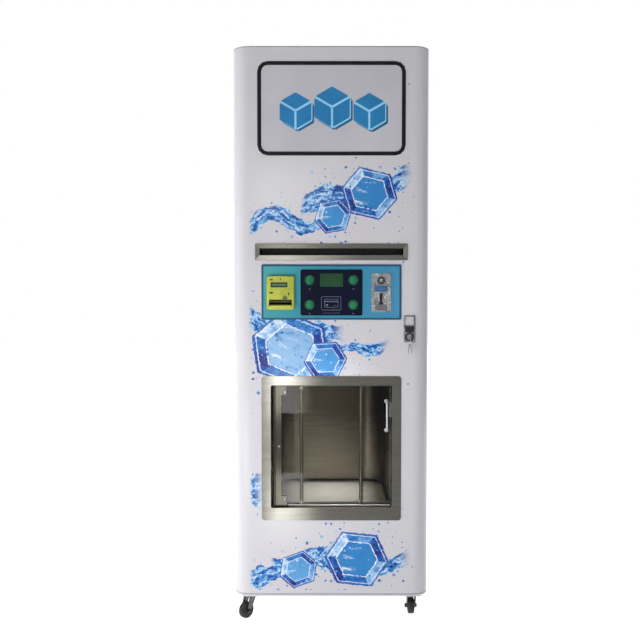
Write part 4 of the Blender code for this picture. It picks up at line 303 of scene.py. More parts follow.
def pan_head(work, place, outward, radius, height):
    """A pan head with a cross recess."""
    where = facing(outward, place)
    shares = ((0, 0.5), (0.1, 0.52), (0.36, 1), (0.66, 0.94), (0.92, 0.55), (1, 0.1), (1, 0),
              (0, 0))
    lathe(work, [(radius * across, height * up) for across, up in shares], where, 20)
    for turn in (45, 135):
        bar = at(0, 0, height * 0.95) @ turned(turn, "Z")
        slab(work, (radius * 1.1, radius * 0.2, height * 0.16), where @ bar)


backward = (0, 1, 0)
cover_sheet = 0.0023
rear_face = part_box("left_side_panel")[1].y + cover_sheet
side_screws_x, lowest_screw, screw_pitch = 0.314, 0.115, 0.25
top_screws_x, top_screws_z = 0.16, 1.885
rear_screw = (0.0045, 0.0022)
work = bmesh.new()
for x in (-side_screws_x, side_screws_x):
    for step in range(8):
        pan_head(work, (x, rear_face, lowest_screw + step * screw_pitch), backward, *rear_screw)
for x in (-top_screws_x, 0, top_screws_x):
    pan_head(work, (x, rear_face, top_screws_z), backward, *rear_screw)
piece_of("rear_screws", work, zinc, "cabinet")


# Casters: pressed and plated forks on a swivel, each with a black rubber wheel on a bolted axle.
# The forks stand at different angles, as they do after the machine has been wheeled in.
rubber = mottled("black_rubber", ("1C1C1E", "151517", "2B2A2B"), 0.62, 60)
relief(rubber, grain(rubber, 500), 0.12, 0.0004)
fork_steel = mottled("caster_fork_steel", ("5A5A5C", "47474A", "727274"), 0.30, 60, 1.0, detail=3)
spread(fork_steel, grain(fork_steel, 90), 0.22, 0.40)
for corner in ("front_left", "front_right", "rear_left", "rear_right"):
    fair("caster_fork_" + corner, fork_steel, 0.0003)
    fair("caster_wheel_" + corner, rubber, smooth_under=50)


# Inside machinery: a hermetic compressor and a finned condenser with its fan below, the ice maker
# on its deck above, and between them the bin, whose auger feeds ice down the chute past its gate.
machine_black = mottled("machine_black", ("26272A", "1E1F22", "34353A"), 0.42, 40)
relief(machine_black, grain(machine_black, 260), 0.10, 0.0005)
plastic = mottled("black_plastic", ("202124", "1A1B1D", "2A2B2E"), 0.48, 70)
relief(plastic, grain(plastic, 900, detail=2), 0.08, 0.0002)
fins = finish_of("aluminium_fins", (0.60, 0.61, 0.62), 0.36, 1.0)
tint(fins, grain(fins, 30, (1, 6, 1)), (0.46, 0.47, 0.48), (0.66, 0.67, 0.68))
spread(fins, grain(fins, 120), 0.28, 0.46)
cream = mottled("white_plastic", ("D9D8D4", "CFCDC8", "DEDDDA"), 0.38, 18)
relief(cream, grain(cream, 500, detail=2), 0.05, 0.0003)
rubbed_across, rubbed_upright = (0.04, 1, 1), (1, 1, 0.04)


def brushed(name, colour, rough=0.24, turn=0.25):
    """Stainless sheet, rubbed along one direction, so its highlights spread across the rubbing."""
    colour = hue(colour)
    steel = finish_of(name, colour, rough, 1.0, anisotropic=0.8, anisotropic_rotation=turn)
    streaks = grain(steel, 150, rubbed_across if turn else rubbed_upright, detail=3)
    tint(steel, streaks, *(tuple(part * share for part in colour) for share in (0.90, 1.06)))
    spread(steel, grain(steel, 9, detail=3), rough * 0.88, rough * 1.12)
    return steel


steel_x = brushed("stainless_brushed_across", "B4B2A8")
steel_z = brushed("stainless_brushed_upright", "7B786D", turn=0.0)
for name in ("compressor", "auger_motor"):
    fair(name, machine_black, smooth_under=45)
for name in ("fan_blades", "power_inlet", "coin_mech_body", "bill_acceptor_body"):
    fair(name, plastic)
fair("condenser", fins)
for name in ("ice_maker", "ice_bin", "sign_light_box", "drain_pipe"):
    fair(name, cream)
for name in ("ice_auger", "ice_chute", "chute_gate", "water_inlet"):
    fair(name, steel_x)
for name in ("machine_deck", "bag_roll_cradle"):
    fair(name, zinc)


# Delivery tub: folded stainless with round back corners, bolted behind the door's mouth, its steel
# painted darker towards the top as painted shade. Its loose floor plate is painted darker at both
# ends with the shade and dim reflections of the side walls, and a black bead of sealant runs round
# it.
def coordinates(tree, kind="Object"):
    """The X, Y and Z of a place on the piece."""
    nodes, links = tree
    split = nodes.new("ShaderNodeSeparateXYZ")
    links.new(nodes.new("ShaderNodeTexCoord").outputs[kind], split.inputs["Vector"])
    return split.outputs


def arithmetic(tree):
    """What works one step of arithmetic in a finish, on numbers and on other steps' results."""
    nodes, links = tree

    def worked(kind, *values):
        step = nodes.new("ShaderNodeMath")
        step.operation = kind
        for socket, value in zip(step.inputs, values):
            if isinstance(value, (int, float)):
                socket.default_value = value
            else:
                links.new(value, socket)
        return step.outputs[0]
    return worked


def along_axis(made, axis, start, end, unevenness, both_ways=False):
    """A value from 0 at one place along an axis to 1 at another, unevened by a noise."""
    tree = tree_of(made)
    worked = arithmetic(tree)
    value = coordinates(tree)[axis]
    if both_ways:
        value = worked("ABSOLUTE", value)
    return worked("MULTIPLY_ADD", unevenness, 0.4, ranged(tree, value, start, end, 0.0, 1.0))


tub_steel = brushed("stainless_tub", "857D6B", 0.42)
tub_low, tub_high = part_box("delivery_tub")
# Painted shade: the tub's steel is painted darker towards its top, which less light reaches through
# the mouth.
painted_top_shade = along_axis(tub_steel, "Z", tub_low.z + 0.06, tub_high.z - 0.10,
                    grain(tub_steel, 150, rubbed_across, detail=3))
tint(tub_steel, painted_top_shade, "A9A18F", "635A4C", 0.2, 1.2)
fair("delivery_tub", tub_steel)
floor_finish = finish_of("tub_floor", "D8D0C3", 0.5)
# Painted shade: the floor plate is painted darker towards both ends, standing for the shade and dim
# reflections of the tub's side walls.
painted_end_shade = along_axis(floor_finish, "X", 0.120, 0.180,
                     grain(floor_finish, 26, detail=8, rough=0.62), both_ways=True)
tint(floor_finish, painted_end_shade, "E6DFD2", "8B867A", 0.1, 1.1)
relief(floor_finish, grain(floor_finish, 160), 0.12, 0.0006)
fair("tub_floor_plate", floor_finish)


def arc_of(middle, radius, angles):
    """The points of an arc at angles in degrees."""
    return [(middle[0] + radius * math.cos(math.radians(angle)),
             middle[1] + radius * math.sin(math.radians(angle))) for angle in angles]


def drawn(name, points, radius, made, body, closed=False):
    """A round bead, wire or ring along a list of points."""
    path = bpy.data.curves.new(name, "CURVE")
    path.dimensions = "3D"
    path.bevel_depth = radius
    path.bevel_resolution = 3
    path.use_fill_caps = True
    run = path.splines.new("POLY")
    run.points.add(len(points) - 1)
    run.use_cyclic_u = closed
    for point, place in zip(run.points, points):
        point.co = (*place, 1)
    guide = bpy.data.objects.new(name + "_path", path)
    bpy.context.collection.objects.link(guide)
    mesh = bpy.data.meshes.new_from_object(guide)
    bpy.data.objects.remove(guide)
    bpy.data.curves.remove(path)
    work = bmesh.new()
    work.from_mesh(mesh)
    bpy.data.meshes.remove(mesh)
    return piece_of(name, work, made, body, 50)


floor_low, floor_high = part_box("tub_floor_plate")
bead_radius, bead_bend, bead_inset, bead_up, bead_from_front = 0.0058, 0.066, 0.0015, 0.0012, 0.012
bead_x, bead_back = floor_high.x - bead_inset, floor_high.y - bead_inset
bead_front = floor_low.y + bead_from_front
route = [(-bead_x, bead_front)]
for middle_x, start in ((-bead_x + bead_bend, 180), (bead_x - bead_bend, 90)):
    route += arc_of((middle_x, bead_back - bead_bend), bead_bend, range(start, start - 91, -9))
route.append((bead_x, bead_front))
drawn("tub_seal_bead", [(x, y, floor_high.z + bead_up) for x, y in route], bead_radius, rubber,
      "cabinet")


# Service door: a deep-drawn pan with large round bends down both sides, coated white. A printed
# film covers its flat face: faceted ice crystals in running water, with drops thrown round them.
film = paint("printed_door_coat", shell_colour)
film_tree = film_nodes, film_links = tree_of(film)
worked = arithmetic(film_tree)


def eased(value, start, end, low=0.0, high=1.0):
    """A soft step between two values."""
    return ranged(film_tree, value, start, end, low, high, "SMOOTHSTEP")


def fading(value, start, end, full=1.0):
    """A soft step from full down to nothing."""
    return eased(value, start, end, full, 0.0)


def flat_place(across, up):
    """A place on the film, from two coordinates."""
    place = film_nodes.new("ShaderNodeCombineXYZ")
    film_links.new(across, place.inputs["X"])
    film_links.new(up, place.inputs["Y"])
    return place.outputs["Vector"]


def noise_at(across, up, scale, detail, rough=0.5):
    """Flat noise at two coordinates."""
    return noise_from(film_tree, flat_place(across, up), scale, detail, rough, "2D")


def swung(noise, amount):
    """A noise that swings about nothing, by an amount."""
    return worked("MULTIPLY", worked("SUBTRACT", noise, 0.5), amount)


def laid(tree, below, above, mask):
    """Lay one ink over what is printed already. An ink is a colour's code or a step's result."""
    nodes, links = tree
    mix = nodes.new("ShaderNodeMix")
    mix.data_type = "RGBA"
    links.new(mask, mix.inputs[0])
    for socket, ink in zip(mix.inputs[6:8], (below, above)):
        if isinstance(ink, str):
            socket.default_value = (*hue(ink), 1)
        else:
            links.new(ink, socket)
    return mix.outputs[2]


film_split = coordinates(film_tree)
plain_x, plain_z = film_split["X"], film_split["Z"]
ripple = swung(noise_at(plain_x, plain_z, 55, 3), 0.016)
swash = swung(noise_at(plain_z, plain_x, 40, 4), 0.022)
film_x = worked("ADD", plain_x, ripple)
film_z = worked("ADD", plain_z, swash)
streak = noise_at(plain_x, plain_z, 90, 6, 0.65)
water_inks = ((0.30, "14277A"), (0.41, "1C57AB"), (0.49, "3585C8"), (0.56, "86BDE6"),
              (0.63, "DAE5F2"), (0.70, "4F97D2"))
side_inks = ((0.30, "13257A"), (0.43, "1B57AE"), (0.56, "3585CB"), (0.70, "97C4E8"),
             (0.84, "EAF1F9"))
drop_inks = ((0.15, "DCE8F5"), (0.35, "7DB4E0"), (0.6, "2F74BE"), (0.95, "233C93"))

# Left end, right end, height, slope, rise, pitch, phase and thickness of each ribbon of water.
ribbons = [
    (-0.271, 0.10, 1.345, 0.10, 0.030, 26.0, 0.4, 0.030),
    (-0.10, 0.271, 1.395, 0.26, 0.022, 21.0, 2.1, 0.036),
    (-0.271, 0.05, 0.935, -0.22, 0.030, 18.0, 1.0, 0.046),
    (-0.02, 0.20, 0.880, 0.30, 0.018, 30.0, 0.2, 0.020),
    (-0.271, -0.215, 0.700, 0.9, 0.05, 34.0, 0.0, 0.060),
    (-0.271, 0.271, 0.185, 0.06, 0.030, 16.0, 2.6, 0.036),
    (-0.20, 0.02, 0.225, 0.30, 0.020, 28.0, 0.9, 0.020),
]
# Place across, place up, size, turn and middle colour of each crystal.
crystals = [
    (0.125, 1.420, 0.078, 17, "2F83C6"),
    (0.005, 1.345, 0.052, 41, "3B8FD0"),
    (-0.135, 0.905, 0.112, 8, "86B4DE"),
    (-0.020, 0.870, 0.060, 33, "4C96D2"),
    (0.085, 0.205, 0.088, 24, "2F83C6"),
    (-0.110, 0.170, 0.055, 50, "5AA0D6"),
]

end_before, end_inside, tail = 0.004, 0.012, 0.05
film_colour = shell_colour
nearest = worked("ADD", worked("ABSOLUTE", plain_x), 10.0)
for left, right, height, slope, rise, pitch, phase, thick in ribbons:
    wave = worked("MULTIPLY", worked("SINE", worked("MULTIPLY_ADD", film_x, pitch, phase)), rise)
    middle = worked("ADD", worked("MULTIPLY_ADD", plain_x, slope, height), wave)
    from_middle = worked("SUBTRACT", film_z, middle)
    swell = worked("MULTIPLY_ADD", noise_at(plain_x, middle, 14, 2), 1.5, 0.15)
    share = worked("DIVIDE", worked("ABSOLUTE", from_middle), worked("MULTIPLY", swell, thick))
    inside = worked("MULTIPLY", eased(plain_x, left - end_before, left + end_inside),
                    fading(plain_x, right - tail, right))
    flow = noise_at(worked("MULTIPLY", film_x, 0.9), worked("MULTIPLY", from_middle, 3.2),
                    26, 5, 0.6)
    water = ramped(film_tree, worked("ADD", flow, swung(streak, 0.5)), water_inks)
    film_colour = laid(film_tree, film_colour, water,
                       worked("MULTIPLY", fading(share, 0.86, 1.0), inside))
    nearest = worked("MINIMUM", nearest, worked("ADD", share, fading(inside, 0.0, 1.0, 6.0)))

side_angle, first_side = math.radians(60), math.radians(210)
for across, up, size, turn, core in crystals:
    cosine, sine = math.cos(math.radians(turn)), math.sin(math.radians(turn))
    from_x, from_z = worked("SUBTRACT", plain_x, across), worked("SUBTRACT", plain_z, up)
    along = worked("ADD", worked("MULTIPLY", from_x, cosine), worked("MULTIPLY", from_z, sine))
    aside = worked("SUBTRACT", worked("MULTIPLY", from_z, cosine), worked("MULTIPLY", from_x, sine))
    out = worked("ABSOLUTE", worked("MULTIPLY", along, 0.92))
    for lean in (0.866, -0.80):
        slant = worked("MULTIPLY_ADD", along, 0.5, worked("MULTIPLY", aside, lean))
        out = worked("MAXIMUM", out, worked("ABSOLUTE", slant))
    out = worked("ADD", worked("DIVIDE", out, size), swung(streak, 0.10))
    bearing = worked("ADD", worked("ARCTAN2", aside, along), first_side)
    sector = worked("FLOOR", worked("DIVIDE", bearing, side_angle))
    side_tone = worked("MULTIPLY", worked("FRACT", worked("MULTIPLY", sector, 0.385)), 0.45)
    broken = worked("MULTIPLY", noise_at(along, aside, 36, 6, 0.7), 0.62)
    sides = ramped(film_tree, worked("ADD", side_tone, broken), side_inks)
    film_colour = laid(film_tree, film_colour, sides, fading(out, 0.975, 1.0))
    frost = noise_at(worked("ADD", along, aside), aside, 22, 5, 0.6)
    table = ramped(film_tree, frost,
                   ((0.30, "2B74BD"), (0.46, core), (0.60, core), (0.74, "D7E4F2")))
    film_colour = laid(film_tree, film_colour, table, fading(out, 0.60, 0.63))
    for ring, half, code in ((0.64, 0.022, "F1F5FA"), (0.97, 0.030, "1B4FA6"),
                             (0.90, 0.018, "E4EDF7")):
        line = worked("ABSOLUTE", worked("SUBTRACT", out, ring))
        film_colour = laid(film_tree, film_colour, code, fading(line, half * 0.5, half, 0.9))
    nearest = worked("MINIMUM", nearest, worked("MULTIPLY", out, 1.4))

# One drop in each cell of a scatter, of unlike sizes, and more of them round the water.
drops = film_nodes.new("ShaderNodeTexVoronoi")
drops.voronoi_dimensions = "2D"
drops.inputs["Scale"].default_value = 62
film_links.new(flat_place(worked("MULTIPLY_ADD", ripple, 0.25, plain_x),
                          worked("MULTIPLY_ADD", swash, 0.25, plain_z)), drops.inputs["Vector"])
chance = film_nodes.new("ShaderNodeSeparateColor")
film_links.new(drops.outputs["Color"], chance.inputs["Color"])
size = worked("MULTIPLY_ADD", worked("POWER", chance.outputs["Red"], 3.0), 0.30, 0.07)
dot = worked("DIVIDE", drops.outputs["Distance"], size)
strip = worked("MULTIPLY", eased(plain_x, 0.215, 0.235), 0.10)
crowd = worked("MAXIMUM", fading(nearest, 1.0, 3.6, 0.62), strip)
there = worked("LESS_THAN", chance.outputs["Green"], crowd)
shade = worked("ADD", worked("MULTIPLY", chance.outputs["Blue"], 0.6), worked("MULTIPLY", dot, 0.4))
film_colour = laid(film_tree, film_colour, ramped(film_tree, shade, drop_inks),
                   worked("MULTIPLY", fading(dot, 0.8, 1.0), there))

film_half, film_foot, film_depth = 0.272, 0.10, 0.0005
on_film = worked("MULTIPLY", worked("LESS_THAN", worked("ABSOLUTE", plain_x), film_half),
                 worked("GREATER_THAN", plain_z, film_foot))
on_film = worked("MULTIPLY", on_film,
                 worked("LESS_THAN", film_split["Y"], door_front + film_depth))
film_links.new(laid(film_tree, shell_colour, film_colour, on_film),
               film_nodes["Principled BSDF"].inputs["Base Color"])
fair("service_door_skin", film)
fair("door_gasket", rubber)


# Lit sign: an opal acrylic window let into the door, held by a black push-on rubber section. Cut
# vinyl on it shows three ice cubes, each with a darker shade thrown down and to the right.
window = mottled("opal_acrylic", ("C2C0C8", "BDBBC3", "C7C5CC"), 0.12, 5,
                 coat_weight=0.2, coat_roughness=0.05)
relief(window, grain(window, 35), 0.04, 0.0006)
fair("sign_window", window)
gasket_rubber = mottled("gasket_rubber", ("101014", "0B0B0E", "1A1A1F"), 0.34, 40,
                        specular_ior_level=0.25)
relief(gasket_rubber, grain(gasket_rubber, 600), 0.06, 0.0003)
fair("sign_gasket", gasket_rubber, smooth_under=50)


def vinyl(name, code):
    """Cut vinyl film, with a slight sheen and the faint cloudiness of its adhesive."""
    pale = tuple(min(1.0, part * 1.14 + 0.004) for part in hue(code))
    return mottled(name, (code, code, pale), 0.35, 16)


def flat_square(work, shape, radius, steps):
    """A unit square that a matrix brings into shape, with its corners rounded."""
    corners = bmesh.ops.create_grid(work, x_segments=1, y_segments=1, size=0.5)["verts"]
    bmesh.ops.transform(work, verts=corners, matrix=shape)
    round_off(work, corners, "VERTICES", radius, steps)


def thickened(work, faces, thickness):
    """Raise flat faces forward by the thickness of a film or of ink."""
    lifted = bmesh.ops.extrude_face_region(work, geom=faces)["geom"]
    tops = [item for item in lifted if isinstance(item, bmesh.types.BMVert)]
    bmesh.ops.translate(work, verts=tops, vec=(0, -thickness, 0))


def lozenge(work, corner, first, second, y, thickness, radius):
    """A flat rhombus from one corner and its two sides, its corners rounded, cut from thin film."""
    middle = corner + (first + second) / 2
    shape = Matrix(((first.x, second.x, 0, middle.x), (0, 0, 1, y),
                    (first.y, second.y, 0, middle.y), (0, 0, 0, 1)))
    flat_square(work, shape, radius, 3)
    faces = [face for face in work.faces
             if all(abs(vert.co.y - y) < 1e-7 for vert in face.verts) and not face.tag]
    thickened(work, faces, thickness)
    for face in work.faces:
        face.tag = True


def ice_cubes(name, places, shift, inset, level, thickness, made):
    """Three faces of each cube as separate lozenges with a light line left between them."""
    work = bmesh.new()
    for place, side in places:
        middle = Vector(place) + Vector(shift)
        lean = Vector((side * 0.866, side * 0.5))
        mirror = Vector((-side * 0.866, side * 0.5))
        upright = Vector((0, -side))
        for first, second in ((lean, mirror), (mirror, upright), (lean, upright)):
            gap = (first + second).normalized() * inset
            keep = (side - inset) / side
            lozenge(work, middle + gap, first * keep, second * keep, level, thickness, side * 0.07)
    return piece_of(name, work, made, "service_door")


window_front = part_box("sign_window")[0].y
cube_places = [((-0.118, 1.690), 0.060), ((0.002, 1.702), 0.067), ((0.124, 1.688), 0.060)]
ice_cubes("sign_cubes_shade", cube_places, (0.0095, -0.0095), 0.0005, window_front, 0.0002,
          vinyl("vinyl_shade", "1A5E86"))
ice_cubes("sign_cubes_line", cube_places, (0.0035, -0.0035), 0.0003, window_front - 0.0001, 0.0002,
          vinyl("vinyl_line", "8FCBEA"))
ice_cubes("sign_cubes_face", cube_places, (0, 0), 0.0042, window_front - 0.0002, 0.0003,
          vinyl("vinyl_face", "1B77AE"))


# Bag slot: a dished stainless trim with a dark throat, and behind it the roll of ice bags on a
# spindle in a bent cradle.
fair("slot_trim", steel_x, 0.0004)
roll_film = finish_of("bag_film", "6E7278", 0.30, coat_weight=0.5)
tint(roll_film, grain(roll_film, 30, (0.1, 1, 1)), "52565C", "8A8E94")
relief(roll_film, grain(roll_film, 120, (0.05, 1, 1)), 0.2, 0.0008)
fair("bag_roll", roll_film, smooth_under=45)
dark_lining = mottled("slot_lining", ("0E0E0F", "0A0A0B", "161617"), 0.75, 50)
trim_low, trim_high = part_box("slot_trim")
slot_middle = (trim_low.z + trim_high.z) / 2
flap_size, flap_depth, flap_apart, flap_lean = (0.470, 0.0012, 0.0100), 0.004, 0.0058, 12
work = bmesh.new()
for sign in (-1, 1):
    flap = at(0, trim_high.y - flap_depth, slot_middle + sign * flap_apart)
    slab(work, flap_size, flap @ turned(sign * flap_lean, "X"), 0.0004)
piece_of("slot_curtain", work, dark_lining, "service_door")


# Control plate: printed sheet, teal at the left running to blue at the right, with a darker line
# round its edge. The keypad's navy plate and everything else on the panel is screwed through it.
plate_low, plate_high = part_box("control_plate")
plate_middle = (plate_low.z + plate_high.z) / 2
border_width, border_ink = 0.0062, "1A4E69"
panel = finish_of("printed_control_plate", "3E9DBB", 0.30, coat_weight=0.25, coat_roughness=0.1)
panel_tree = panel_nodes, panel_links = tree_of(panel)
reckoned = arithmetic(panel_tree)
panel_split = coordinates(panel_tree)
above_middle = reckoned("SUBTRACT", panel_split["Z"], plate_middle)
from_side = reckoned("SUBTRACT", plate_high.x, reckoned("ABSOLUTE", panel_split["X"]))
from_end = reckoned("SUBTRACT", (plate_high.z - plate_low.z) / 2,
                    reckoned("ABSOLUTE", above_middle))
border = reckoned("LESS_THAN", reckoned("MINIMUM", from_side, from_end), border_width)
along = reckoned("ADD", reckoned("MULTIPLY_ADD", panel_split["X"], 2.0, 0.5),
                 reckoned("MULTIPLY", above_middle, -0.7))
panel_print = ramped(panel_tree, along, ((0.0, "4BA3A9"), (0.25, "3492A2"), (0.45, "2C87A0"),
                                         (0.75, "3789AD"), (1.0, "438FB6")))
panel_links.new(laid(panel_tree, panel_print, border_ink, border),
                panel_nodes["Principled BSDF"].inputs["Base Color"])
relief(panel, grain(panel, 300), 0.03, 0.0003)
fair("control_plate", panel)


# Keypad: an acrylic plate printed navy on its back, with four green push buttons, a display window
# and a line drawing of a card that shows where a card is read.
forward = (0, -1, 0)
navy = mottled("keypad_navy", ("070D22", "060B1D", "0A122C"), 0.2, 9, specular_ior_level=0.3)
fair("keypad_panel", navy, 0.0003)
green = mottled("button_green", ("127349", "0F6A43", "188054"), 0.3, 60)
button_rim = mottled("button_rim", ("135039", "0F4531", "1A5C43"), 0.35, 60)
rim_profile = [(0.0137, 0), (0.0168, 0), (0.0168, 0.0012), (0.0155, 0.0022), (0.0141, 0.0022),
               (0.0137, 0.0016), (0.0137, 0)]
keypad_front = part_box("keypad_panel")[0].y
for corner in ("lower_left", "lower_right", "upper_left", "upper_right"):
    fair("button_" + corner, green, smooth_under=50)
    low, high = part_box("button_" + corner)
    middle = (low + high) / 2
    work = bmesh.new()
    lathe(work, rim_profile, facing(forward, (middle.x, keypad_front, middle.z)), 32)
    piece_of("button_rim_" + corner, work, button_rim, "service_door")
display = mottled("display_green", ("22442D", "1E3E29", "2B5237"), 0.16, 12, specular_ior_level=0.3)
fair("display_window", display)
white_ink = mottled("white_ink", ("5F6985", "525C77", "6E7893"), 0.5, 90)


def outlined(work, low, high, y, line, radius):
    """A printed line round a rectangle with rounded corners."""
    before = set(work.faces)
    place = at((low[0] + high[0]) / 2, y, (low[1] + high[1]) / 2) @ turned(90, "X")
    shape = Matrix.Diagonal((high[0] - low[0], high[1] - low[1], 1, 1))
    flat_square(work, place @ shape, radius, 4)
    inner = [face for face in work.faces if face not in before]
    rim = bmesh.ops.inset_region(work, faces=inner, thickness=line, use_boundary=True,
                                 use_even_offset=True)["faces"]
    bmesh.ops.delete(work, geom=inner, context="FACES_ONLY")
    thickened(work, rim, 0.00015)


foot = plate_low.z
ink_front, ink_thick = keypad_front - 0.0001, 0.0002
work = bmesh.new()
outlined(work, (-0.0335, foot + 0.0315), (0.0320, foot + 0.0765), keypad_front, 0.0015, 0.004)
outlined(work, (-0.0240, foot + 0.0400), (0.0225, foot + 0.0680), keypad_front, 0.0013, 0.003)
for x, z, width, height in ((-0.0008, 0.0600, 0.0445, 0.0032), (-0.0150, 0.0480, 0.0080, 0.0060),
                            (0.0120, 0.0460, 0.0120, 0.0012)):
    slab(work, (width, ink_thick, height), at(x, ink_front, foot + z))
for x, z, turn in ((-0.072, 0.1010, 0), (0.072, 0.1010, 180), (-0.072, 0.0200, 90),
                   (0.072, 0.0200, 270)):
    arrow = bmesh.ops.create_circle(work, cap_ends=True, radius=0.0034, segments=3)["verts"]
    way = at(x, ink_front, foot + z) @ turned(90, "X") @ turned(turn, "Z")
    bmesh.ops.transform(work, verts=arrow, matrix=way)
slab(work, (0.056, ink_thick, 0.0010), at(-0.001, ink_front, foot + 0.0220))
piece_of("keypad_marks", work, white_ink, "service_door")


# Banknote acceptor: a yellow moulded bezel with a small display, a black band round the note mouth
# and a curved lip under it.
yellow = mottled("acceptor_yellow", ("B0B742", "A3AA3A", "BEC44E"), 0.34, 20)
relief(yellow, grain(yellow, 800, detail=2), 0.05, 0.0003)
fair("bill_acceptor_bezel", yellow, 0.0004)
bezel_low, bezel_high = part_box("bill_acceptor_bezel")
bezel_x, bezel_foot = (bezel_low.x + bezel_high.x) / 2, bezel_low.z
lip_depth = 0.006
bezel_front = bezel_low.y + lip_depth


def plate_on(work, x, z, width, height, y, thick, radius):
    """A thin raised plate with rounded corners on a face that looks forward."""
    corners = bmesh.ops.create_cube(work, size=1)["verts"]
    bmesh.ops.transform(work, verts=corners, matrix=(
        at(x, y - thick / 2, z) @ Matrix.Diagonal((width, thick, height, 1))))
    deep = list({edge for corner in corners for edge in corner.link_edges
                 if abs(edge.verts[0].co.y - edge.verts[1].co.y) > thick / 2})
    round_off(work, deep, "EDGES", radius, 3)


band = mottled("acceptor_band", ("1B1A17", "151411", "272520"), 0.38, 70)
work = bmesh.new()
for x, z, width, height, thick, radius in (
        (0, 0.0298, 0.074, 0.0068, 0.0009, 0.0012),
        (-0.0358, 0.0220, 0.0030, 0.0190, 0.0008, 0.0008),
        (0.0358, 0.0220, 0.0030, 0.0190, 0.0008, 0.0008),
        (-0.0300, 0.0985, 0.0100, 0.0040, 0.0005, 0.0006),
        (-0.0300, 0.0560, 0.0110, 0.0050, 0.0005, 0.0006),
        (0.0270, 0.0520, 0.0038, 0.0090, 0.0005, 0.0010),
        *((-0.028 + step * 0.0112, 0.0680, 0.0060, 0.0009, 0.0003, 0.0003) for step in range(6))):
    plate_on(work, bezel_x + x, bezel_foot + z, width, height, bezel_front, thick, radius)
piece_of("acceptor_band", work, band, "service_door")
note_display = mottled("acceptor_display", ("20392A", "1A3023", "2B4A36"), 0.16, 60,
                       coat_weight=0.5, coat_roughness=0.03)
display_z, display_thick = bezel_foot + 0.0818, 0.0008
work = bmesh.new()
plate_on(work, bezel_x - 0.0048, display_z, 0.0550, 0.0165, bezel_front, display_thick, 0.0012)
piece_of("acceptor_display", work, note_display, "service_door")
cells = mottled("display_cells", ("5E7F66", "56755E", "6A8C72"), 0.4, 90)
work = bmesh.new()
for step in range(12):
    plate_on(work, bezel_x - 0.0268 + step * 0.0040, display_z, 0.0028, 0.0068,
             bezel_front - display_thick, 0.0002, 0.0002)
piece_of("acceptor_display_cells", work, cells, "service_door")
lens = mottled("sensor_lens", ("5B6A46", "4D5B3A", "6E7E55"), 0.12, 60, coat_weight=0.6)
work = bmesh.new()
lathe(work, [(0, 0.0022), (0.003, 0.0021), (0.0058, 0.0016), (0.0072, 0.0006), (0.0076, 0), (0, 0)],
      facing(forward, (bezel_x + 0.0145, bezel_front, bezel_foot + 0.0385)), 28)
piece_of("acceptor_sensor", work, lens, "service_door")
boss = facing(forward, (bezel_x, bezel_front, bezel_foot + 0.0560))
work = bmesh.new()
lathe(work, [(0.0070, 0), (0.0084, 0), (0.0084, 0.0006), (0.0070, 0.0010), (0.0070, 0)], boss, 28)
lathe(work, [(0, 0.0010), (0.0035, 0.0009), (0.0045, 0.0004), (0.0048, 0), (0, 0)], boss, 28)
piece_of("acceptor_boss", work, yellow, "service_door")
work = bmesh.new()
pan_head(work, (bezel_x, bezel_front, bezel_foot + 0.1010), forward, 0.0026, 0.0010)
piece_of("acceptor_screw", work, machine_black, "service_door")


# Coin unit: a bright chromed face plate held by four screws. A round coin emblem stands at the
# top, then the blue return button, the coin slot in its raised guide, and the return cup.
chrome = mottled("chrome", ((0.70, 0.71, 0.73), (0.60, 0.61, 0.63), (0.78, 0.79, 0.80)),
                 0.12, 35, 1.0)
spread(chrome, grain(chrome, 90), 0.08, 0.20)
coin_chrome = mottled("coin_plate_chrome", ("B9BABD", "97989B", "E2E2E5"), 0.22, 40, 0.6)
spread(coin_chrome, grain(coin_chrome, 150), 0.14, 0.34)
relief(coin_chrome, grain(coin_chrome, 110), 0.25, 0.0008)
fair("coin_plate", coin_chrome, 0.0003)
coin_low, coin_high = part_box("coin_plate")
coin_x, coin_front, coin_foot = (coin_low.x + coin_high.x) / 2, coin_low.y, coin_low.z
screw_inset = 0.0060
work = bmesh.new()
for x in (coin_low.x + screw_inset, coin_high.x - screw_inset):
    for z in (coin_foot + screw_inset, coin_high.z - screw_inset):
        pan_head(work, (x, coin_front, z), forward, 0.0030, 0.0014)
emblem = facing(forward, (coin_x, coin_front, coin_foot + 0.1045))
lathe(work, [(0.0122, 0), (0.0152, 0), (0.0152, 0.0008), (0.0145, 0.0018), (0.0130, 0.0018),
             (0.0122, 0.0008), (0.0122, 0)], emblem, 40)
for step in range(6):
    slab(work, (0.0022, 0.0084, 0.0012), emblem @ turned(step * 60, "Z") @ at(0, 0.0070, 0.0006),
         0.0004)
lathe(work, [(0, 0.0020), (0.0025, 0.0018), (0.0038, 0.0010), (0.0042, 0), (0, 0)], emblem, 28)
for side in (-1, 1):
    guide_bar = at(coin_x + side * 0.0060, coin_front - 0.0012, coin_foot + 0.0485)
    slab(work, (0.0030, 0.0026, 0.032), guide_bar, 0.0010)
piece_of("coin_plate_trim", work, chrome, "service_door")
work = bmesh.new()
lathe(work, [(0, 0.0004), (0.0121, 0.0004), (0.0123, 0), (0, 0)], emblem, 40)
plate_on(work, coin_x, coin_foot + 0.0480, 0.0092, 0.0300, coin_front, 0.0003, 0.0008)
plate_on(work, coin_x, coin_foot + 0.0290, 0.0150, 0.0080, coin_front, 0.0004, 0.0020)
piece_of("coin_plate_infill", work, plastic, "service_door")
blue = mottled("return_button_blue", ("1F5F94", "1B568A", "2A70A8"), 0.28, 60, coat_weight=0.4)
fair("coin_return_button", blue, 0.0005)
return_low, return_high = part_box("coin_return_button")
mark_z = (return_low.z + return_high.z) / 2
work = bmesh.new()
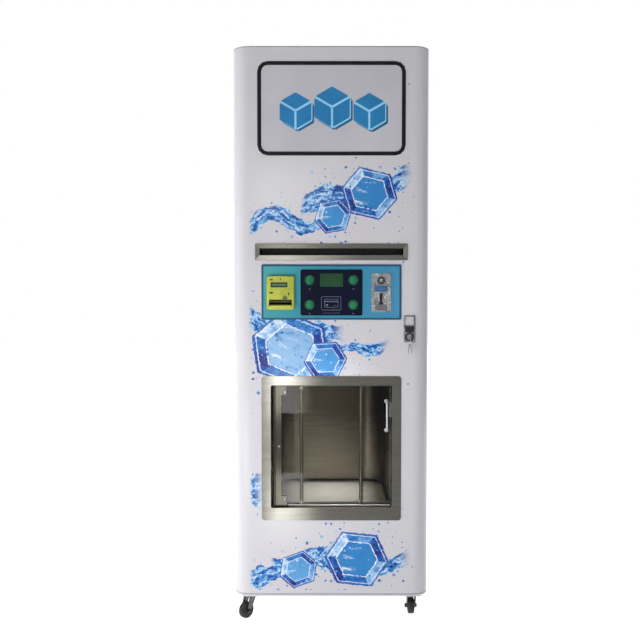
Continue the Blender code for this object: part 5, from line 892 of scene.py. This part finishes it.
for x, z, width, height in ((-0.0030, 0.0026, 0.0180, 0.0016), (-0.0030, -0.0026, 0.0180, 0.0016),
                            (0.0105, 0, 0.0036, 0.0068)):
    plate_on(work, coin_x + x, mark_z + z, width, height, return_low.y, 0.0002, 0.0003)
piece_of("return_button_marks", work, white_ink, "coin_return_button")
fair("coin_return_flap", chrome, 0.0003)


# Paddle lock: a chromed die-cast housing with its paddle folded flat, and a key in the cylinder
# with the spares on its ring.
lock_chrome = mottled("lock_chrome", ("B4B5B8", "8B8C8F", "CFD0D3"), 0.16, 70, 0.6)
spread(lock_chrome, grain(lock_chrome, 120), 0.10, 0.26)
satin = mottled("satin_chrome", ("D6D7DA", "C6C7CA", "E2E3E5"), 0.38, 90, 0.35)
fair("lock_plate", lock_chrome, 0.0003)
fair("lock_paddle", satin, 0.0004)
fair("lock_key", lock_chrome, 0.0003)
fair("latch_cam", zinc, 0.0003)
lock_low, lock_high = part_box("lock_plate")
cylinder_up, paddle_up = 0.019, 0.0252
cylinder = Vector(((lock_low.x + lock_high.x) / 2, lock_low.y, lock_low.z + cylinder_up))
# Painted shade: thin black plastic sheets round the cylinder and behind the paddle stand for the
# shade in the lock's recess.
work = bmesh.new()
lathe(work, [(0.0095, 0), (0.0150, 0), (0.0150, 0.0003), (0.0095, 0.0003), (0.0095, 0)],
      facing(forward, cylinder), 36)
slab(work, (0.0290, 0.0004, 0.0200), at(cylinder.x, lock_low.y - 0.0002, cylinder.z + paddle_up),
     0.0001)
piece_of("lock_recess_shade", work, plastic, "service_door")
key_low, key_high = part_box("lock_key")
ring_x, ring_y = (key_low.x + key_high.x) / 2, key_low.y + 0.0099
ring_z = (key_low.z + key_high.z) / 2 - 0.0125
ring_half_wide, ring_half_high = 0.0090, 0.0115
circle_points = [(ring_x, ring_y + ring_half_wide * math.sin(math.radians(angle)),
                  ring_z + ring_half_high * math.cos(math.radians(angle)))
                 for angle in range(0, 360, 15)]
drawn("key_ring", circle_points, 0.0008, chrome, "lock_key", closed=True)
work = bmesh.new()
for shift, lean in ((-0.0022, 7), (0.0020, -9)):
    hang = at(ring_x + shift, ring_y, ring_z - ring_half_high)
    hang = hang @ turned(lean, "Y") @ turned(8 * lean / 7, "Z")
    slab(work, (0.0016, 0.0120, 0.0130), hang @ at(0, 0.0005, -0.0050), 0.0006)
    slab(work, (0.0016, 0.0052, 0.0200), hang @ at(0, 0.0005, -0.0200), 0.0005)
    for step in range(3):
        tooth = at(0, -0.0026, -0.0170 - step * 0.0045)
        slab(work, (0.0014, 0.0016, 0.0020), hang @ tooth, 0.0003)
piece_of("hanging_keys", work, lock_chrome, "lock_key")


# Delivery opening: a picture frame folded from stainless sheet with mitred corners, its rails
# brushed along their length, with a folded throat behind and a catch plate for the door.
fair("delivery_frame", steel_x, 0.0006)


# Delivery door: a clear acrylic panel clamped in a folded stainless hinge rail by three bright
# screws, with a bent chrome pull handle at the right and two upright guard rods behind it. The
# panel is a thin film to the renderer, so its polished edges are pieces of their own.
acrylic = finish_of("clear_acrylic", (0.93, 0.95, 0.94), 0.02, 1.0, alpha=0.018)
spread(acrylic, grain(acrylic, 8), 0.008, 0.03)
fair("delivery_door_panel", acrylic)
fair("delivery_door_rail", steel_z, 0.0004)
fair("delivery_handle", satin, smooth_under=50)
rod_steel = brushed("guard_rod_steel", "8A8473", 0.22, 0.0)
for name in ("guard_rod_left", "guard_rod_right"):
    fair(name, rod_steel, smooth_under=50)
panel_low, panel_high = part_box("delivery_door_panel")
panel_front, panel_middle = panel_low.y, (panel_low + panel_high) / 2
rail_x, rail_cover = -0.146, 0.004
polished = finish_of("polished_acrylic_edge", "E8E8E2", 0.3, transmission_weight=0.3)
tint(polished, grain(polished, 20, (0.2, 1, 1)), "D6D6CE", "F0F0EC")
work = bmesh.new()
lower_edge = at((panel_high.x + rail_x) / 2, panel_front - 0.0012, panel_low.z + 0.0018)
slab(work, (panel_high.x - rail_x - rail_cover, 0.0024, 0.0036), lower_edge, 0.0005)
piece_of("panel_lower_edge", work, polished, "delivery_door")
cut_edge = mottled("cut_acrylic_edge", ("8E9A96", "7F8B87", "9EAAA6"), 0.25, 60)
work = bmesh.new()
for size, x, z in (((panel_high.x - rail_x, 0.0036, 0.0008), (panel_high.x + rail_x) / 2,
                    panel_high.z - 0.0006),
                   ((0.0008, 0.0036, panel_high.z - panel_low.z - 0.008), panel_high.x - 0.0006,
                    panel_middle.z)):
    slab(work, size, at(x, panel_middle.y, z), 0.0002)
piece_of("panel_cut_edges", work, cut_edge, "delivery_door")
rail_thick = 0.0033
work = bmesh.new()
for x, z in ((-0.1550, 0.7630), (-0.1750, 0.5800), (-0.1550, 0.4020)):
    pan_head(work, (x, panel_front - rail_thick, z), forward, 0.0046, 0.0026)
piece_of("rail_screws", work, chrome, "delivery_door")
handle_low, handle_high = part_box("delivery_handle")
handle_x = (handle_low.x + handle_high.x) / 2
foot_inset = 0.0062
washer_profile = [(0.0034, 0), (0.0072, 0), (0.0072, 0.0010), (0.0058, 0.0030), (0.0040, 0.0040),
                  (0.0034, 0.0040), (0.0034, 0)]
work = bmesh.new()
for z in (handle_low.z + foot_inset, handle_high.z - foot_inset):
    lathe(work, washer_profile, facing(forward, (handle_x, panel_front, z)), 28)
piece_of("handle_washers", work, satin, "delivery_door")
work = bmesh.new()
pan_head(work, (handle_x + 0.0010, panel_front, 0.5600), forward, 0.0036, 0.0016)
piece_of("panel_screw", work, machine_black, "delivery_door")


# Studio: a white floor that keeps the machine's shadow, a pale room that is brighter behind, and
# five soft lamps: low at the left, high at the left, one into the delivery mouth, one far left and
# one weak at the right. Cards and strips that only reflections see give the steel its tone.
def backdrop_of(name):
    """A flat studio surface's mesh object, with its finish's nodes and links to work on."""
    mesh = bpy.data.meshes.new(name)
    work = bmesh.new()
    bmesh.ops.create_grid(work, x_segments=1, y_segments=1, size=1)
    work.to_mesh(mesh)
    work.free()
    surface = bpy.data.objects.new(name, mesh)
    bpy.context.collection.objects.link(surface)
    made = finish_of(name, (1, 1, 1), 0.9, specular_ior_level=0.1)
    mesh.materials.append(made)
    return surface, tree_of(made)


def seen_plain(tree, otherwise, plain):
    """One shader where a ray shows the background, straight, in metal or through glass."""
    nodes, links = tree
    ray = nodes.new("ShaderNodeLightPath").outputs
    larger = arithmetic(tree)
    choose = nodes.new("ShaderNodeMixShader")
    shown = larger("MAXIMUM", larger("MAXIMUM", ray["Is Camera Ray"], ray["Is Glossy Ray"]),
                   ray["Is Transmission Ray"])
    for source, socket in zip((shown, otherwise, plain), choose.inputs):
        links.new(source, socket)
    return choose.outputs[0]


def with_glow(tree, shader, strength, colour=None):
    """A shader that also gives light of its own."""
    nodes, links = tree
    glow = nodes.new("ShaderNodeEmission")
    glow.inputs["Strength"].default_value = strength
    if colour:
        links.new(colour, glow.inputs["Color"])
    if shader is None:
        return glow.outputs[0]
    both = nodes.new("ShaderNodeAddShader")
    links.new(shader.outputs[0], both.inputs[0])
    links.new(glow.outputs[0], both.inputs[1])
    return both.outputs[0]


ground, tree = backdrop_of("studio_floor")
nodes, links = tree
ground.scale = (14, 14, 1)
shader = nodes["Principled BSDF"]
links.new(seen_plain(tree, shader.outputs[0], with_glow(tree, shader, 0.80)),
          nodes["Material Output"].inputs["Surface"])

world = bpy.data.worlds.new("studio")
world.use_nodes = True
bpy.context.scene.world = world
tree = nodes, links = tree_of(world)
plain = nodes.new("ShaderNodeBackground")
plain.inputs["Color"].default_value = (1, 1, 1, 1)
plain.inputs["Strength"].default_value = 1.0
room = nodes["Background"]
room.inputs["Color"].default_value = (0.98, 0.98, 1.0, 1)
brighter_behind = ranged(tree, coordinates(tree, "Generated")["Y"], -0.1, 0.6, 0.36, 0.95)
links.new(brighter_behind, room.inputs["Strength"])
links.new(seen_plain(tree, room.outputs[0], plain.outputs[0]),
          nodes["World Output"].inputs["Surface"])

strip_tones = ((0.02, 0.0), (0.16, 0.9), (0.50, 0.8), (0.97, 0.0))
slot_tones = ((0.02, 0.0), (0.16, 0.9), (0.40, 0.7), (0.97, 0.0))
behind_tones = ((0.30, 0.50), (0.47, 0.34), (0.50, 0.26), (0.60, 0.17))
floor_tones = ((0.30, 0.50), (0.47, 0.36), (0.50, 0.28), (0.60, 0.19))
for name, place, turn, scale, strength, tones in (
        ("card_behind_camera", (0, -7.0, 3.0), (90, 0, 0), (8, 3.0), 1, behind_tones),
        ("card_on_floor", (0, -3.75, 0.002), (0, 0, 0), (8, 3.25), 1, floor_tones),
        ("card_at_right", (4.5, -1.6, 2.0), (90, 0, 90), (5.4, 2.0), 1, ((0.0, 0.20), (1.0, 0.30))),
        ("high_strip", (-0.17, -1.2, 0.73), (90, 0, 0), (0.11, 0.17), 4, strip_tones),
        ("low_strip", (-0.17, -1.2, 0.15), (90, 0, 0), (0.11, 0.145), 4, strip_tones),
        ("slot_strip", (-0.12, -1.2, 1.54), (90, 0, 0), (0.24, 0.10), 3, slot_tones)):
    card, tree = backdrop_of(name)
    nodes, links = tree
    card.location = place
    card.rotation_euler = [math.radians(angle) for angle in turn]
    card.scale = (*scale, 1)
    card.visible_camera = card.visible_diffuse = card.visible_shadow = False
    card.visible_transmission = False
    share = arithmetic(tree)("MULTIPLY_ADD", coordinates(tree)["X"], 0.5, 0.5)
    colour = ramped(tree, share, [(along, (tone, tone, tone)) for along, tone in tones])
    clear = nodes.new("ShaderNodeBsdfTransparent") if strength > 1 else None
    links.new(with_glow(tree, clear, strength, colour), nodes["Material Output"].inputs["Surface"])

for name, place, aim, size, spread_angle, energy in (
        ("low_light", (-1.2, -2.1, 0.12), (0, 0, 0.25), (1.4, 0.5), 180, 38),
        ("high_light", (-2.2, -3.2, 2.9), (0, 0, 1.2), (1.4, 1.4), 180, 5.5),
        ("mouth_light", (-0.05, -2.3, 3.0), (0, -0.13, 0.38), (0.10, 0.10), 7, 0.19),
        ("left_light", (-3.6, 0.3, 1.1), (0, 0.1, 1.0), (1.6, 1.6), 180, 42),
        ("fill_light", (2.6, -3.0, 1.2), (0, 0, 0.7), (2.0, 2.0), 180, 7.5)):
    lamp = bpy.data.lights.new(name, "AREA")
    lamp.shape = "RECTANGLE"
    lamp.size, lamp.size_y = size
    lamp.energy = energy
    lamp.spread = math.radians(spread_angle)
    light = bpy.data.objects.new(name, lamp)
    bpy.context.collection.objects.link(light)
    light.location = place
    light.rotation_euler = (Vector(aim) - Vector(place)).to_track_quat("-Z", "Y").to_euler()
    light.visible_glossy = False
